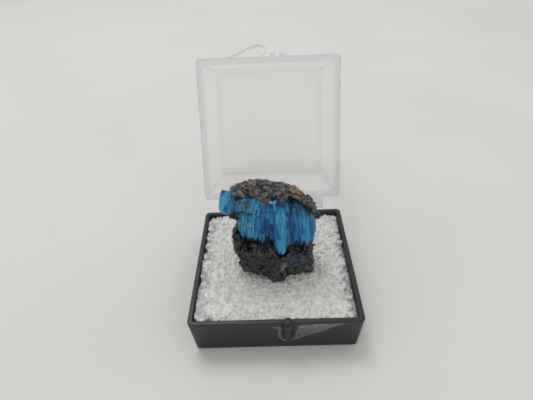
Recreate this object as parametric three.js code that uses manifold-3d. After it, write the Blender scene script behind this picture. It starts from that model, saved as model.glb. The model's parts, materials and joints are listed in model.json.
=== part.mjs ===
// A thumbnail mineral box with its specimen: a black tray with a foam pad, a clear deep lid that is
// hinged at the back and lies open on the table, a piece of fibrous blue chalcanthite vein between two
// walls of dark rock, and the clear tape that once sealed the box, torn in two.
// Millimetres, +Z up. The origin is the middle of the tray's underside, and the catch side faces -Y.
import * as THREE from 'three';
import { mergeVertices } from 'three/addons/utils/BufferGeometryUtils.js';
import Module from 'manifold-3d';

// Tray, measured over its rim.
const TRAY_WIDTH = 33.4;
const TRAY_HEIGHT = 8.5;
const TRAY_DRAFT = 0.6;
const TRAY_WALL = 1.0;
const TRAY_FLOOR = 1.2;
const TRAY_CORNER = 1.5;
const TRAY_EDGE = 0.35;

// Lid, measured as it stands closed on the tray.
const LID_WIDTH = 34.0;
const LID_DEPTH = 28.9;
const LID_WALL = 1.1;
const LID_DRAFT = 0.45;
const LID_CORNER = 1.8;
const LID_EDGE = 1.0;
const BEAD_STEP = 0.35;
const BEAD_HEIGHT = 1.3;
const RIM_GAP = 0.15;

// Hinge: two lugs on the lid, each with a pin in the tray's ear beside it, towards the middle.
const HINGE_Y = 18.78;
const HINGE_Z = 8.63;
const HINGE_X = 11.5;
const KNUCKLE_RADIUS = 1.25;
const PIN_RADIUS = 0.55;
const PIN_PLAY = 0.15;
const LUG_WIDTH = 2.4;
const EAR_WIDTH = 1.1;
const EAR_FOOT = 5.0;
const EAR_HEAD = 7.3;
const LUG_FOOT = 9.1;
const LUG_HEAD = 11.2;
const SIDE_PLAY = 0.3;
const EAR_X = HINGE_X - LUG_WIDTH / 2 - SIDE_PLAY - EAR_WIDTH / 2;
const TABLE_GAP = 0.05;

// Catch: a round-headed post on the tray and two teeth above a notch in the lid's rim.
const CATCH_X = 2.2;
const POST_RADIUS = 0.98;
const STEM_RADIUS = 0.85;
const POST_FOOT = 4.0;
const POST_GROOVE = 6.8;
const POST_TOP = 9.2;
const NOTCH_WIDTH = 2.6;
const NOTCH_HEIGHT = 0.9;
const TOOTH_PITCH = 2.2;
const TOOTH_WIDTH = 1.2;
const TOOTH_HEIGHT = 1.1;
const TOOTH_REACH = 0.8;

// Pad and tape.
const PART_GAP = 0.3;
const PAD_TOP = 8.3;
const PAD_CORNER = 1.0;
const TAPE_THICKNESS = 0.2;
const FLAP_WIDTH = 6.0;
const FLAP_SETBACK = 0.6;
const FLAP_STEPS = 28;

// Specimen: the box of its cross section at each height, from its foot to its crest.
const SPECIMEN_SECTIONS = [
  { z: PAD_TOP + PART_GAP, left: -6.0, right: 7.4, front: -5.0, back: 4.2 },
  { z: 10.4, left: -7.3, right: 8.3, front: -5.8, back: 4.8 },
  { z: 13.4, left: -8.2, right: 8.4, front: -5.4, back: 5.0 },
  { z: 16.6, left: -8.3, right: 8.3, front: -4.9, back: 5.0 },
  { z: 18.4, left: -7.0, right: 8.5, front: -4.6, back: 4.9 },
  { z: 21.3, left: -6.9, right: 8.9, front: -4.4, back: 4.8 },
  { z: 22.2, left: -9.1, right: 8.8, front: -4.4, back: 4.7 },
  { z: 24.6, left: -10.0, right: 8.4, front: -4.3, back: 4.6 },
  { z: 26.6, left: -9.7, right: 7.0, front: -4.1, back: 4.4 },
  { z: 27.6, left: -7.6, right: 4.6, front: -3.2, back: 4.0 },
  { z: 28.4, left: -4.6, right: 2.2, front: -1.6, back: 2.8 },
];
const SECTION_POINTS = 22;
const SECTION_SQUARENESS = 2.8;
const CRAG_DEPTH = 0.033;

// Where the vein meets the lower rock and the upper crust, seen from the front as [x, z].
const LOWER_CONTACT = [
  [-8.6, 18.3], [-7.4, 18.1], [-6.2, 17.0], [-4.4, 17.9], [-0.6, 17.2], [0.5, 14.9],
  [1.7, 14.6], [3.2, 16.7], [7.3, 16.1], [8.6, 14.8],
];
const UPPER_CONTACT = [
  [-7.6, 28.6], [-7.2, 26.9], [-3.0, 26.7], [0.2, 26.2], [3.2, 26.3], [5.2, 25.5], [7.0, 23.6], [8.6, 20.2],
];

const TRAY_HALF = TRAY_WIDTH / 2;
const LID_HALF = LID_WIDTH / 2;
const LID_RIM = TRAY_HEIGHT + RIM_GAP;
const LID_TOP = LID_RIM + LID_DEPTH;
const LID_SIDE = LID_HALF - BEAD_STEP;
const OVERLAP = 0.3;
const FAR = 40;
const CORNER_STEPS = 5;
const ROUND_STEPS = 16;

const wasm = await Module();
wasm.setup();

// Turns a geometry's closed surface into a solid that can be joined and cut.
function toSolid(geometry) {
  const bare = geometry.clone();
  bare.deleteAttribute('normal');
  bare.deleteAttribute('uv');
  const merged = mergeVertices(bare, 1e-4);
  return new wasm.Manifold(new wasm.Mesh({
    numProp: 3,
    vertProperties: new Float32Array(merged.attributes.position.array),
    triVerts: new Uint32Array(merged.index.array),
  }));
}

// Turns a solid back into a geometry with flat-shaded faces.
function toGeometry(solid) {
  const { vertProperties, triVerts } = solid.getMesh();
  const geometry = new THREE.BufferGeometry();
  geometry.setAttribute('position', new THREE.BufferAttribute(new Float32Array(vertProperties), 3));
  geometry.setIndex(new THREE.BufferAttribute(new Uint32Array(triVerts), 1));
  geometry.computeVertexNormals();
  return geometry;
}

// Skins a stack of rings, lowest first, and closes both ends with a fan.
function loft(rings) {
  const count = rings[0].length;
  const points = rings.flat();
  const triangles = [];
  for (let ring = 0; ring + 1 < rings.length; ring += 1) {
    for (let i = 0; i < count; i += 1) {
      const a = ring * count + i;
      const b = ring * count + (i + 1) % count;
      triangles.push(a, b, b + count, a, b + count, a + count);
    }
  }
  const last = (rings.length - 1) * count;
  const foot = points.push(middle(rings[0])) - 1;
  const head = points.push(middle(rings[rings.length - 1])) - 1;
  for (let i = 0; i < count; i += 1) {
    const next = (i + 1) % count;
    triangles.push(foot, next, i, head, last + i, last + next);
  }
  const geometry = new THREE.BufferGeometry().setFromPoints(points);
  geometry.setIndex(triangles);
  geometry.computeVertexNormals();
  return geometry;
}

// The mean point of a ring.
function middle(ring) {
  const sum = ring.reduce((total, point) => total.add(point), new THREE.Vector3());
  return sum.divideScalar(ring.length);
}

// A square ring with round corners, anticlockwise from above.
function squareRing(half, corner, z) {
  const ring = [];
  for (let quarter = 0; quarter < 4; quarter += 1) {
    const start = quarter * Math.PI / 2;
    const centre = new THREE.Vector2(half - corner, half - corner).rotateAround(new THREE.Vector2(), start);
    for (let step = 0; step <= CORNER_STEPS; step += 1) {
      const angle = start + step / CORNER_STEPS * Math.PI / 2;
      ring.push(new THREE.Vector3(
        centre.x + corner * Math.cos(angle),
        centre.y + corner * Math.sin(angle),
        z,
      ));
    }
  }
  return ring;
}

// Extrudes an outline given as [y, z] along X, centred on x.
function extrudeAcross(shape, x, width) {
  const options = { depth: width, bevelEnabled: false, curveSegments: ROUND_STEPS };
  const geometry = new THREE.ExtrudeGeometry(shape, options);
  geometry.translate(0, 0, -width / 2);
  const turn = new THREE.Matrix4().makeBasis(
    new THREE.Vector3(0, 1, 0),
    new THREE.Vector3(0, 0, 1),
    new THREE.Vector3(1, 0, 0),
  );
  return geometry.applyMatrix4(turn).translate(x, 0, 0);
}

// Extrudes an outline given as [x, z] from front to back, between two places on Y.
function extrudeBack(shape, front, back) {
  const geometry = new THREE.ExtrudeGeometry(shape, { depth: back - front, bevelEnabled: false });
  return geometry.rotateX(Math.PI / 2).translate(0, back, 0);
}

// A closed outline through [u, v] pairs.
function outline(pairs) {
  return new THREE.Shape(pairs.map(([u, v]) => new THREE.Vector2(u, v)));
}

// A round bar along X.
function bar(x, y, z, radius, length) {
  const geometry = new THREE.CylinderGeometry(radius, radius, length, ROUND_STEPS);
  return geometry.rotateZ(Math.PI / 2).translate(x, y, z);
}

// A box between two corners.
function block(low, high) {
  const geometry = new THREE.BoxGeometry(high[0] - low[0], high[1] - low[1], high[2] - low[2]);
  return geometry.translate((low[0] + high[0]) / 2, (low[1] + high[1]) / 2, (low[2] + high[2]) / 2);
}

// The angle, about the hinge line, at which a straight edge from a point touches the knuckle's round.
function touchAngle(y, z, side) {
  const away = Math.hypot(y - HINGE_Y, z - HINGE_Z);
  return Math.atan2(z - HINGE_Z, y - HINGE_Y) + side * Math.acos(KNUCKLE_RADIUS / away);
}

// The side view of one hinge knuckle: round about the hinge line, with an arm to the wall in front of it.
function knuckle(wallY, foot, head) {
  const shape = new THREE.Shape();
  const start = touchAngle(wallY, foot, 1);
  const end = touchAngle(wallY, head, -1);
  shape.moveTo(wallY, foot);
  shape.absarc(HINGE_Y, HINGE_Z, KNUCKLE_RADIUS, start, end, false);
  shape.lineTo(wallY, head);
  shape.closePath();
  return shape;
}

// Half the width of the tray's pocket at a height.
function pocketHalf(z) {
  return TRAY_HALF - TRAY_WALL - TRAY_DRAFT * (1 - z / TRAY_HEIGHT);
}

// Black moulded tray: a square shell with draft, a round-headed catch post and two hinge ears.
function tray() {
  const foot = TRAY_HALF - TRAY_DRAFT;
  let solid = toSolid(loft([
    squareRing(foot - TRAY_EDGE, TRAY_CORNER, 0),
    squareRing(foot, TRAY_CORNER, TRAY_EDGE),
    squareRing(TRAY_HALF, TRAY_CORNER, TRAY_HEIGHT - TRAY_EDGE),
    squareRing(TRAY_HALF - TRAY_EDGE, TRAY_CORNER, TRAY_HEIGHT),
  ]));
  for (const side of [-1, 1]) {
    const x = side * EAR_X;
    const arm = toSolid(extrudeAcross(knuckle(foot, EAR_FOOT, EAR_HEAD), x, EAR_WIDTH));
    const hole = toSolid(bar(x, HINGE_Y, HINGE_Z, PIN_RADIUS + PIN_PLAY, EAR_WIDTH + 1));
    solid = solid.add(arm.subtract(hole));
  }
  const pocket = loft([TRAY_FLOOR, TRAY_HEIGHT + 1].map((z) => squareRing(pocketHalf(z), PAD_CORNER, z)));
  return toGeometry(solid.subtract(toSolid(pocket)).add(toSolid(catchPost())));
}

// The catch post, turned about its own upright axis in the tray's front wall.
function catchPost() {
  const neck = STEM_RADIUS - 0.13;
  const profile = [
    [0, POST_FOOT], [STEM_RADIUS - 0.1, POST_FOOT], [STEM_RADIUS, POST_FOOT + 0.3],
    [STEM_RADIUS, POST_GROOVE - 0.2], [neck, POST_GROOVE], [neck, POST_GROOVE + 0.2],
    [POST_RADIUS, POST_GROOVE + 0.4], [POST_RADIUS, POST_TOP - 0.8],
    [0.8, POST_TOP - 0.3], [0.45, POST_TOP - 0.07], [0, POST_TOP],
  ];
  const points = profile.map(([radius, z]) => new THREE.Vector2(radius, z));
  const post = new THREE.LatheGeometry(points, ROUND_STEPS);
  return post.rotateX(Math.PI / 2).translate(CATCH_X, -TRAY_HALF, 0);
}

// Clear moulded lid as it stands closed: a deep square shell with a bead round its rim, two catch teeth
// above a notch, and two hinge lugs with their pins.
function lid() {
  const head = LID_SIDE - LID_DRAFT;
  const rings = [
    squareRing(LID_HALF, LID_CORNER, LID_RIM),
    squareRing(LID_HALF, LID_CORNER, LID_RIM + BEAD_HEIGHT),
    squareRing(LID_SIDE, LID_CORNER, LID_RIM + BEAD_HEIGHT + BEAD_STEP),
  ];
  for (const angle of [0, 30, 60, 90].map(THREE.MathUtils.degToRad)) {
    const inset = LID_EDGE * (1 - Math.cos(angle));
    rings.push(squareRing(head - inset, LID_CORNER, LID_TOP - LID_EDGE * (1 - Math.sin(angle))));
  }
  let solid = toSolid(loft(rings));
  const arm = knuckle(LID_SIDE - OVERLAP, LUG_FOOT, LUG_HEAD);
  const pinLength = SIDE_PLAY + EAR_WIDTH + LUG_WIDTH;
  const pinX = HINGE_X - (SIDE_PLAY + EAR_WIDTH) / 2;
  for (const side of [-1, 1]) {
    solid = solid.add(toSolid(extrudeAcross(arm, side * HINGE_X, LUG_WIDTH)));
    solid = solid.add(toSolid(bar(side * pinX, HINGE_Y, HINGE_Z, PIN_RADIUS, pinLength)));
    solid = solid.add(toSolid(tooth(CATCH_X + side * TOOTH_PITCH / 2)));
  }
  const cavity = loft([
    squareRing(LID_SIDE - LID_WALL, LID_CORNER - LID_WALL / 2, LID_RIM - 1),
    squareRing(head - LID_WALL, LID_CORNER - LID_WALL / 2, LID_TOP - LID_WALL),
  ]);
  const notch = block(
    [CATCH_X - NOTCH_WIDTH / 2, -FAR, LID_RIM - 1],
    [CATCH_X + NOTCH_WIDTH / 2, 0, LID_RIM + NOTCH_HEIGHT],
  );
  return toGeometry(solid.subtract(toSolid(cavity)).subtract(toSolid(notch)));
}

// A wedge-shaped catch tooth on the bead's front face.
function tooth(x) {
  const low = LID_RIM + NOTCH_HEIGHT;
  const root = OVERLAP - LID_HALF;
  const tip = -LID_HALF - TOOTH_REACH;
  const wedge = outline([
    [root, low], [root, low + TOOTH_HEIGHT], [-LID_HALF, low + TOOTH_HEIGHT], [tip, low + 0.3], [tip, low],
  ]);
  return extrudeAcross(wedge, x, TOOTH_WIDTH);
}

// Foam pad: a drafted slab that fills the tray with a little play.
function foamPad() {
  const levels = [TRAY_FLOOR + PART_GAP, PAD_TOP];
  return loft(levels.map((z) => squareRing(pocketHalf(z) - PART_GAP, PAD_CORNER, z)));
}

// One craggy ring of the specimen: a squarish oval in the section's box.
function specimenRing({ z, left, right, front, back }) {
  const ring = [];
  for (let i = 0; i < SECTION_POINTS; i += 1) {
    const angle = i / SECTION_POINTS * 2 * Math.PI;
    const rounded = (value) => Math.sign(value) * Math.abs(value) ** (2 / SECTION_SQUARENESS);
    const crag = 1 - CRAG_DEPTH * (1 + Math.sin(5 * angle + 1.3 * z) * Math.cos(3 * angle - 0.7 * z));
    const u = rounded(Math.cos(angle)) * crag;
    const v = rounded(Math.sin(angle)) * crag;
    ring.push(new THREE.Vector3(
      (left + right) / 2 + u * (right - left) / 2,
      (front + back) / 2 + v * (back - front) / 2,
      z,
    ));
  }
  return ring;
}

// A contact line moved up or down, run out level on both sides.
function contactEdge(contact, shift) {
  const inside = contact.map(([x, z]) => [x, z + shift]);
  return [[-FAR, inside[0][1]], ...inside, [FAR, inside[inside.length - 1][1]]];
}

// The three layers of the specimen, cut from one craggy body along its contacts.
function specimenLayers() {
  const body = toSolid(loft(SPECIMEN_SECTIONS.map(specimenRing)));
  const half = PART_GAP / 2;
  const floor = [[FAR, 0], [-FAR, 0]];
  const sky = [[FAR, FAR], [-FAR, FAR]];
  const layer = (lower, upper) => {
    const profile = outline([...lower, ...[...upper].reverse()]);
    return toGeometry(body.intersect(toSolid(extrudeBack(profile, -FAR, FAR))));
  };
  return {
    lowerRock: layer([...floor].reverse(), contactEdge(LOWER_CONTACT, -half)),
    vein: layer(contactEdge(LOWER_CONTACT, half), contactEdge(UPPER_CONTACT, -half)),
    upperCrust: layer(contactEdge(UPPER_CONTACT, half), [...sky].reverse()),
  };
}

// Torn tape on the tray's front: a strip under the post that runs up to the rim on the right.
function trayTape() {
  const post = POST_RADIUS + PART_GAP;
  const right = CATCH_X + post;
  const left = CATCH_X - post;
  const torn = outline([
    [-0.8, 6.9], [left - 0.6, 6.6], [left - 0.5, 3.4], [left + 0.6, 2.3], [right + 0.2, 2.4], [5.5, 3.8],
    [8.3, 5.2], [11.0, 7.0], [12.8, 7.9], [right, 7.9], [right, 3.6], [left, 3.6], [left, 7.3], [-0.8, 7.3],
  ]);
  const strip = extrudeBack(torn, -TAPE_THICKNESS, 0);
  const lean = Math.atan2(TRAY_DRAFT, TRAY_HEIGHT);
  return strip.rotateX(lean).translate(0, TRAY_DRAFT - TRAY_HALF - PART_GAP, 0);
}

// Peeled tape on the lid's front wall: it lies flat at the left, lifts away and curls over at the right.
function lidTape() {
  const path = new THREE.SplineCurve([
    [-10.3, 0], [-8.8, 0.35], [-6.4, 1.3], [-3.6, 2.35], [-2.1, 2.6], [-0.8, 2.3], [-0.4, 1.3], [-1.2, 0.4],
  ].map(([x, height]) => new THREE.Vector2(x, -height)));
  const edge = (side) => Array.from({ length: FLAP_STEPS + 1 }, (_, step) => {
    const point = path.getPoint(step / FLAP_STEPS);
    const along = path.getTangent(step / FLAP_STEPS);
    return [point.x - side * along.y * TAPE_THICKNESS / 2, point.y + side * along.x * TAPE_THICKNESS / 2];
  });
  const ribbon = new THREE.ExtrudeGeometry(
    outline([...edge(-1), ...edge(1).reverse()]),
    { depth: FLAP_WIDTH, bevelEnabled: false },
  );
  const stand = LID_HALF + PART_GAP + TAPE_THICKNESS / 2;
  return ribbon.translate(0, -stand, LID_RIM + FLAP_SETBACK);
}

// How far the lid turns from closed until its far edge lies on the table.
function openAngle() {
  const edgeY = LID_SIDE - LID_DRAFT - LID_EDGE - HINGE_Y;
  const edgeZ = LID_TOP - LID_EDGE - HINGE_Z;
  const drop = HINGE_Z - TABLE_GAP - LID_EDGE;
  return Math.acos(-drop / Math.hypot(edgeY, edgeZ)) - Math.atan2(edgeY, edgeZ);
}

// A named piece with its own finish.
function piece(name, geometry, color, roughness, extra = {}) {
  const material = new THREE.MeshStandardMaterial({ color, roughness, metalness: 0, ...extra });
  const mesh = new THREE.Mesh(geometry, material);
  mesh.name = name;
  return mesh;
}

const CLEAR = { transparent: true, opacity: 0.3 };
const layers = specimenLayers();

const lidParts = new THREE.Group();
lidParts.position.set(0, -HINGE_Y, -HINGE_Z);
lidParts.add(
  piece('lid', lid(), '#dfe3ea', 0.08, CLEAR),
  piece('lid_tape', lidTape(), '#e6e4da', 0.2, CLEAR),
);

const openLid = new THREE.Group();
openLid.position.set(0, HINGE_Y, HINGE_Z);
openLid.rotation.x = -openAngle();
openLid.add(lidParts);

const part = new THREE.Group();
part.add(
  piece('tray', tray(), '#2c2f31', 0.3),
  piece('foam_pad', foamPad(), '#e9e9e6', 0.8),
  piece('lower_rock', layers.lowerRock, '#26262a', 0.7),
  piece('chalcanthite_vein', layers.vein, '#1f72ab', 0.35),
  piece('upper_crust', layers.upperCrust, '#4a4440', 0.8),
  piece('tray_tape', trayTape(), '#8b8d8e', 0.2, CLEAR),
  openLid,
);

export default part;
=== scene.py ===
"""Looks of a boxed chalcanthite specimen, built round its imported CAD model.

Every mesh is made in millimetres, in the CAD frame, and is turned to metres when it is handed over.
"""

import itertools
import json
import logging
import math
from dataclasses import dataclass
from enum import Enum
from functools import partial
from typing import Any, Callable, Mapping, Sequence

import bmesh
import bpy
import numpy as np
from mathutils import Euler, Matrix, Vector
from mathutils.bvhtree import BVHTree

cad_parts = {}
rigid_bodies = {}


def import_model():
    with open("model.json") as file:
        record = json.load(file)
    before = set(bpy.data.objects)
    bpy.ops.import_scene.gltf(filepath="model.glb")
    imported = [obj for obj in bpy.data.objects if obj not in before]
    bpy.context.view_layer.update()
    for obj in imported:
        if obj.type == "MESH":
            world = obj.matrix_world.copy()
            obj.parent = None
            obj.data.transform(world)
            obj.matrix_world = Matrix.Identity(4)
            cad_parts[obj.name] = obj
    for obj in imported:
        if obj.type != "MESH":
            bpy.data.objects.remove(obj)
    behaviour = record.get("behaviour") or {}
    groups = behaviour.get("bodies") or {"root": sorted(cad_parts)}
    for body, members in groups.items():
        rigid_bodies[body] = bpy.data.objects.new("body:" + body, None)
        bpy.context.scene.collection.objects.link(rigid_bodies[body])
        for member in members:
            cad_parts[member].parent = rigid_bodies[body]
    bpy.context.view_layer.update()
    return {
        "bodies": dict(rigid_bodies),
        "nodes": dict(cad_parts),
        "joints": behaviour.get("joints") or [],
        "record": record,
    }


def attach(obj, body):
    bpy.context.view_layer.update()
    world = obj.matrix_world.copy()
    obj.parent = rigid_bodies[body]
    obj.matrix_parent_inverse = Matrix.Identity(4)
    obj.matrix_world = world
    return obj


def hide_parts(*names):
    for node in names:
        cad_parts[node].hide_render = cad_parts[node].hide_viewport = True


log = logging.getLogger("boxed_chalcanthite")

MM = 0.001
NEAR = 0.02
MOULDED_CREASE_DEG = 32
HASH_PRIMES = np.array([73856093, 19349663, 83492791], dtype=np.int64)
HASH_SEED = 7919
HASH_ROUNDS = ((13, 1274126177), (16, 668265263))
Point = tuple[float, float, float]
Flat = tuple[float, float]
Rows = np.ndarray
Piece = bpy.types.Object
Material = bpy.types.Material
Tree = bpy.types.NodeTree
Node = bpy.types.Node
Socket = bpy.types.NodeSocket


class Body(Enum):
    """The two bodies that the hinge joins."""

    BOX = "box"
    COVER = "cover"


class Slot(Enum):
    """The record's material slots."""

    TRAY = "tray_plastic"
    LID = "lid_plastic"
    FOAM = "pad_foam"
    WALL_ROCK = "wall_rock"
    CHALCANTHITE = "chalcanthite"
    CRUST = "crust_rock"
    TAPE = "clear_tape"


class Join(Enum):
    """Ways to combine two solids."""

    ADD = "UNION"
    CUT = "DIFFERENCE"


class Stain(Enum):
    """Marks on the stone, each kept in a vertex attribute of that name."""

    SOIL = "soil"
    EARTHY = "earthy"
    BLUE = "blue_dust"
    PALE = "pale"
    RUST = "rust"
    VERDIGRIS = "verdigris"


class Kind(Enum):
    """Node types, by what they do here, each with the settings that make it do so."""

    COORDS = "ShaderNodeTexCoord"
    STRETCH = "ShaderNodeMapping"
    NOISE = "ShaderNodeTexNoise"
    CELLS = "ShaderNodeTexVoronoi"
    FLAT_CELLS = "ShaderNodeTexVoronoi voronoi_dimensions=2D"
    FLAT_WALLS = "ShaderNodeTexVoronoi voronoi_dimensions=2D feature=DISTANCE_TO_EDGE"
    RANGE = "ShaderNodeMapRange"
    RAMP = "ShaderNodeValToRGB"
    MIX = "ShaderNodeMix data_type=RGBA"
    DARKEN = "ShaderNodeMix data_type=RGBA blend_type=MULTIPLY"
    BUMP = "ShaderNodeBump"
    MARK = "ShaderNodeAttribute"
    PLUS = "ShaderNodeMath operation=ADD"
    MINUS = "ShaderNodeMath operation=SUBTRACT"
    TIMES = "ShaderNodeMath operation=MULTIPLY"
    TIMES_PLUS = "ShaderNodeMath operation=MULTIPLY_ADD"
    OVER = "ShaderNodeMath operation=DIVIDE"
    POWER = "ShaderNodeMath operation=POWER"
    AMOUNT = "ShaderNodeMath operation=ABSOLUTE"
    LEAST = "ShaderNodeMath operation=MINIMUM"
    MOST = "ShaderNodeMath operation=MAXIMUM"
    IS_BELOW = "ShaderNodeMath operation=LESS_THAN"
    IS_ABOVE = "ShaderNodeMath operation=GREATER_THAN"
    PLUS_XYZ = "ShaderNodeVectorMath operation=ADD"
    MINUS_XYZ = "ShaderNodeVectorMath operation=SUBTRACT"
    TIMES_XYZ = "ShaderNodeVectorMath operation=MULTIPLY"
    TIMES_PLUS_XYZ = "ShaderNodeVectorMath operation=MULTIPLY_ADD"
    SCALE_XYZ = "ShaderNodeVectorMath operation=SCALE"
    DOT_XYZ = "ShaderNodeVectorMath operation=DOT_PRODUCT"
    AMOUNT_XYZ = "ShaderNodeVectorMath operation=ABSOLUTE"
    SPLIT = "ShaderNodeSeparateXYZ"
    PACK = "ShaderNodeCombineXYZ"
    RANDOM = "FunctionNodeRandomValue data_type=FLOAT"
    RANDOM_XYZ = "FunctionNodeRandomValue data_type=FLOAT_VECTOR"
    AIM = "FunctionNodeAlignRotationToVector"
    READ = "GeometryNodeInputNamedAttribute data_type=FLOAT"
    READ_XYZ = "GeometryNodeInputNamedAttribute data_type=FLOAT_VECTOR"
    STORE = "GeometryNodeStoreNamedAttribute data_type=FLOAT"
    STORE_XYZ = "GeometryNodeStoreNamedAttribute data_type=FLOAT_VECTOR"
    PLACE = "GeometryNodeInputPosition"
    NORMAL = "GeometryNodeInputNormal"
    MOVE = "GeometryNodeSetPosition"
    SCATTER = "GeometryNodeDistributePointsOnFaces distribute_method=POISSON"
    CAST = "GeometryNodeRaycast"
    COPIES = "GeometryNodeInstanceOnPoints"
    JOIN = "GeometryNodeJoinGeometry"
    REALIZE = "GeometryNodeRealizeInstances"
    DRESS = "GeometryNodeSetMaterial"
    BLOCK = "GeometryNodeMeshCube"
    ROD = "GeometryNodeMeshCylinder"
    SPIKE = "GeometryNodeMeshCone"


class Draw(Enum):
    """How far each kind of random draw on the stone is set apart from its layer's seed."""

    FEET = 5
    BANDS = 6
    ROOF = 8
    WEATHER = 20
    STAIN = 30
    FACES = 40


# Nodes

def linear(code: str) -> tuple[float, float, float, float]:
    """Turn an sRGB hex colour to linear.

    Args:
        code: the colour as #rrggbb.

    Returns:
        Linear red, green and blue, and an alpha of 1.
    """
    shares = [int(code[start:start + 2], 16) / 255 for start in (1, 3, 5)]
    rgb = [share / 12.92 if share <= 0.04045 else ((share + 0.055) / 1.055) ** 2.4 for share in shares]
    return (*rgb, 1.0)


def per_metre(size_mm: float) -> float:
    """The texture scale that gives a pattern of a size in millimetres on Object coordinates."""
    return 1.0 / (size_mm * MM)


def socket(sockets: Any, key: str | int) -> Socket:
    """Find one of a node's sockets.

    Args:
        sockets: the node's inputs or outputs.
        key: the socket's name, or its place among those that the node has in use.

    Returns:
        The socket.
    """
    used = [one for one in sockets if one.enabled]
    if isinstance(key, int):
        return used[key]
    return next(one for one in used if one.name == key)


def wire(tree: Tree, node: Node, *terms: Any, **inputs: Any) -> None:
    """Set or link a node's inputs.

    Args:
        tree: the node's tree.
        node: the node.
        terms: what goes to its first inputs, in order: a node, a socket, a hex colour, a value or a list.
        inputs: what goes to its other inputs, by name, with underscores for blanks.
    """
    named = {name.replace("_", " "): value for name, value in inputs.items()}
    for key, value in (*enumerate(terms), *named.items()):
        target = socket(node.inputs, key)
        for one in value if isinstance(value, list) else [value]:
            source = socket(one.outputs, 0) if isinstance(one, Node) else one
            if isinstance(source, Socket):
                tree.links.new(source, target)
            else:
                target.default_value = linear(source) if str(source).startswith("#") else source


def add(tree: Tree, kind: Kind, *terms: Any, stops: Sequence[tuple[float, str]] = (),
        **settings: Any) -> Node:
    """Add a node with its settings and links.

    Args:
        tree: the tree that gets the node.
        kind: the node's type, with its usual settings.
        terms: what goes to the node's first inputs, in order.
        stops: places and hex colours of a colour ramp.
        settings: in lower case the node's own settings, and else its inputs by name.

    Returns:
        The new node.
    """
    node_type, *presets = kind.value.split()
    node = tree.nodes.new(node_type)
    own = dict(preset.split("=") for preset in presets)
    for name, value in (*own.items(), *settings.items()):
        if name[0].islower():
            setattr(node, name, value)
    wire(tree, node, *terms, **{name: value for name, value in settings.items() if name[0].isupper()})
    for place, (at, code) in enumerate(stops):
        elements = node.color_ramp.elements
        element = elements[place] if place < 2 else elements.new(at)
        element.position = at
        element.color = linear(code)
    return node


def named_sizes(owner: Any, *fields: str) -> dict[str, float | int]:
    """Sizes for a tree, each under its field's name with blanks for underscores."""
    return {field.replace("_", " ").capitalize(): getattr(owner, field) for field in fields}


class Recipe:
    """A Geometry Nodes tree with named sizes, which ends as a plain mesh."""

    def __init__(self, name: str, sizes: Mapping[str, float | int]) -> None:
        """Start a tree.

        Args:
            name: the tree's name.
            sizes: its named inputs and their values. Whole numbers make whole-number inputs.
        """
        self.tree = bpy.data.node_groups.new(name, "GeometryNodeTree")
        face = self.tree.interface
        face.new_socket("Geometry", in_out="INPUT", socket_type="NodeSocketGeometry")
        face.new_socket("Geometry", in_out="OUTPUT", socket_type="NodeSocketGeometry")
        self.values: dict[str, float | int] = {}
        for label, value in sizes.items():
            kind = "NodeSocketInt" if isinstance(value, int) else "NodeSocketFloat"
            made = face.new_socket(label, in_out="INPUT", socket_type=kind)
            self.values[made.identifier] = value
        self.inputs = self.tree.nodes.new("NodeGroupInput")

    def add(self, kind: Kind, *terms: Any, **settings: Any) -> Node:
        """Add a node to the tree."""
        return add(self.tree, kind, *terms, **settings)

    def size(self, label: str) -> Socket:
        """The socket of a named size, or of the geometry that the tree starts from."""
        return self.inputs.outputs[label]

    def finish(self, piece: Piece, made: Node, material: Material) -> None:
        """End the tree, run it on a piece and keep the result as the piece's mesh.

        Args:
            piece: the object whose mesh is the tree's geometry input.
            made: the node with the finished geometry.
            material: the finish that the whole result gets.
        """
        whole = self.add(Kind.REALIZE, made)
        dressed = self.add(Kind.DRESS, whole, Material=material)
        end = self.tree.nodes.new("NodeGroupOutput")
        self.tree.links.new(dressed.outputs[0], end.inputs[0])
        modifier = piece.modifiers.new(self.tree.name, "NODES")
        modifier.node_group = self.tree
        for identifier, value in self.values.items():
            modifier[identifier] = value
        settle(piece)


# Meshes

def settle(piece: Piece) -> None:
    """Turn a piece's modifiers into a plain mesh.

    Args:
        piece: the piece.
    """
    graph = bpy.context.evaluated_depsgraph_get()
    made = bpy.data.meshes.new_from_object(piece.evaluated_get(graph))
    piece.modifiers.clear()
    piece.data = made


def face_out(piece: Piece, merge_mm: float = 1e-4) -> None:
    """Merge a piece's doubles and turn its faces outwards.

    Args:
        piece: the piece.
        merge_mm: how close doubles are.
    """
    work = bmesh.new()
    work.from_mesh(piece.data)
    bmesh.ops.remove_doubles(work, verts=work.verts, dist=merge_mm)
    bmesh.ops.recalc_face_normals(work, faces=work.faces)
    work.to_mesh(piece.data)
    work.free()


def new_piece(name: str, points: Sequence[Sequence[float]], faces: Sequence[Sequence[int]]) -> Piece:
    """Make an object from points in millimetres.

    Args:
        name: the piece's name.
        points: its corners.
        faces: the corners of each face.

    Returns:
        The object, in the scene, with its faces outwards.
    """
    mesh = bpy.data.meshes.new(name)
    mesh.from_pydata([tuple(map(float, point)) for point in points], [], faces)
    piece = bpy.data.objects.new(name, mesh)
    bpy.context.scene.collection.objects.link(piece)
    face_out(piece)
    return piece


def strip_faces(rows: int, columns: int, closed: bool) -> list[tuple[int, int, int, int]]:
    """Faces between rows of points.

    Args:
        rows: how many rows there are.
        columns: how many points a row has.
        closed: whether each row is a ring.

    Returns:
        The four corners of each face.
    """
    last = columns if closed else columns - 1
    return [
        (row * columns + i, row * columns + (i + 1) % columns,
         (row + 1) * columns + (i + 1) % columns, (row + 1) * columns + i)
        for row in range(rows - 1) for i in range(last)
    ]


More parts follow.
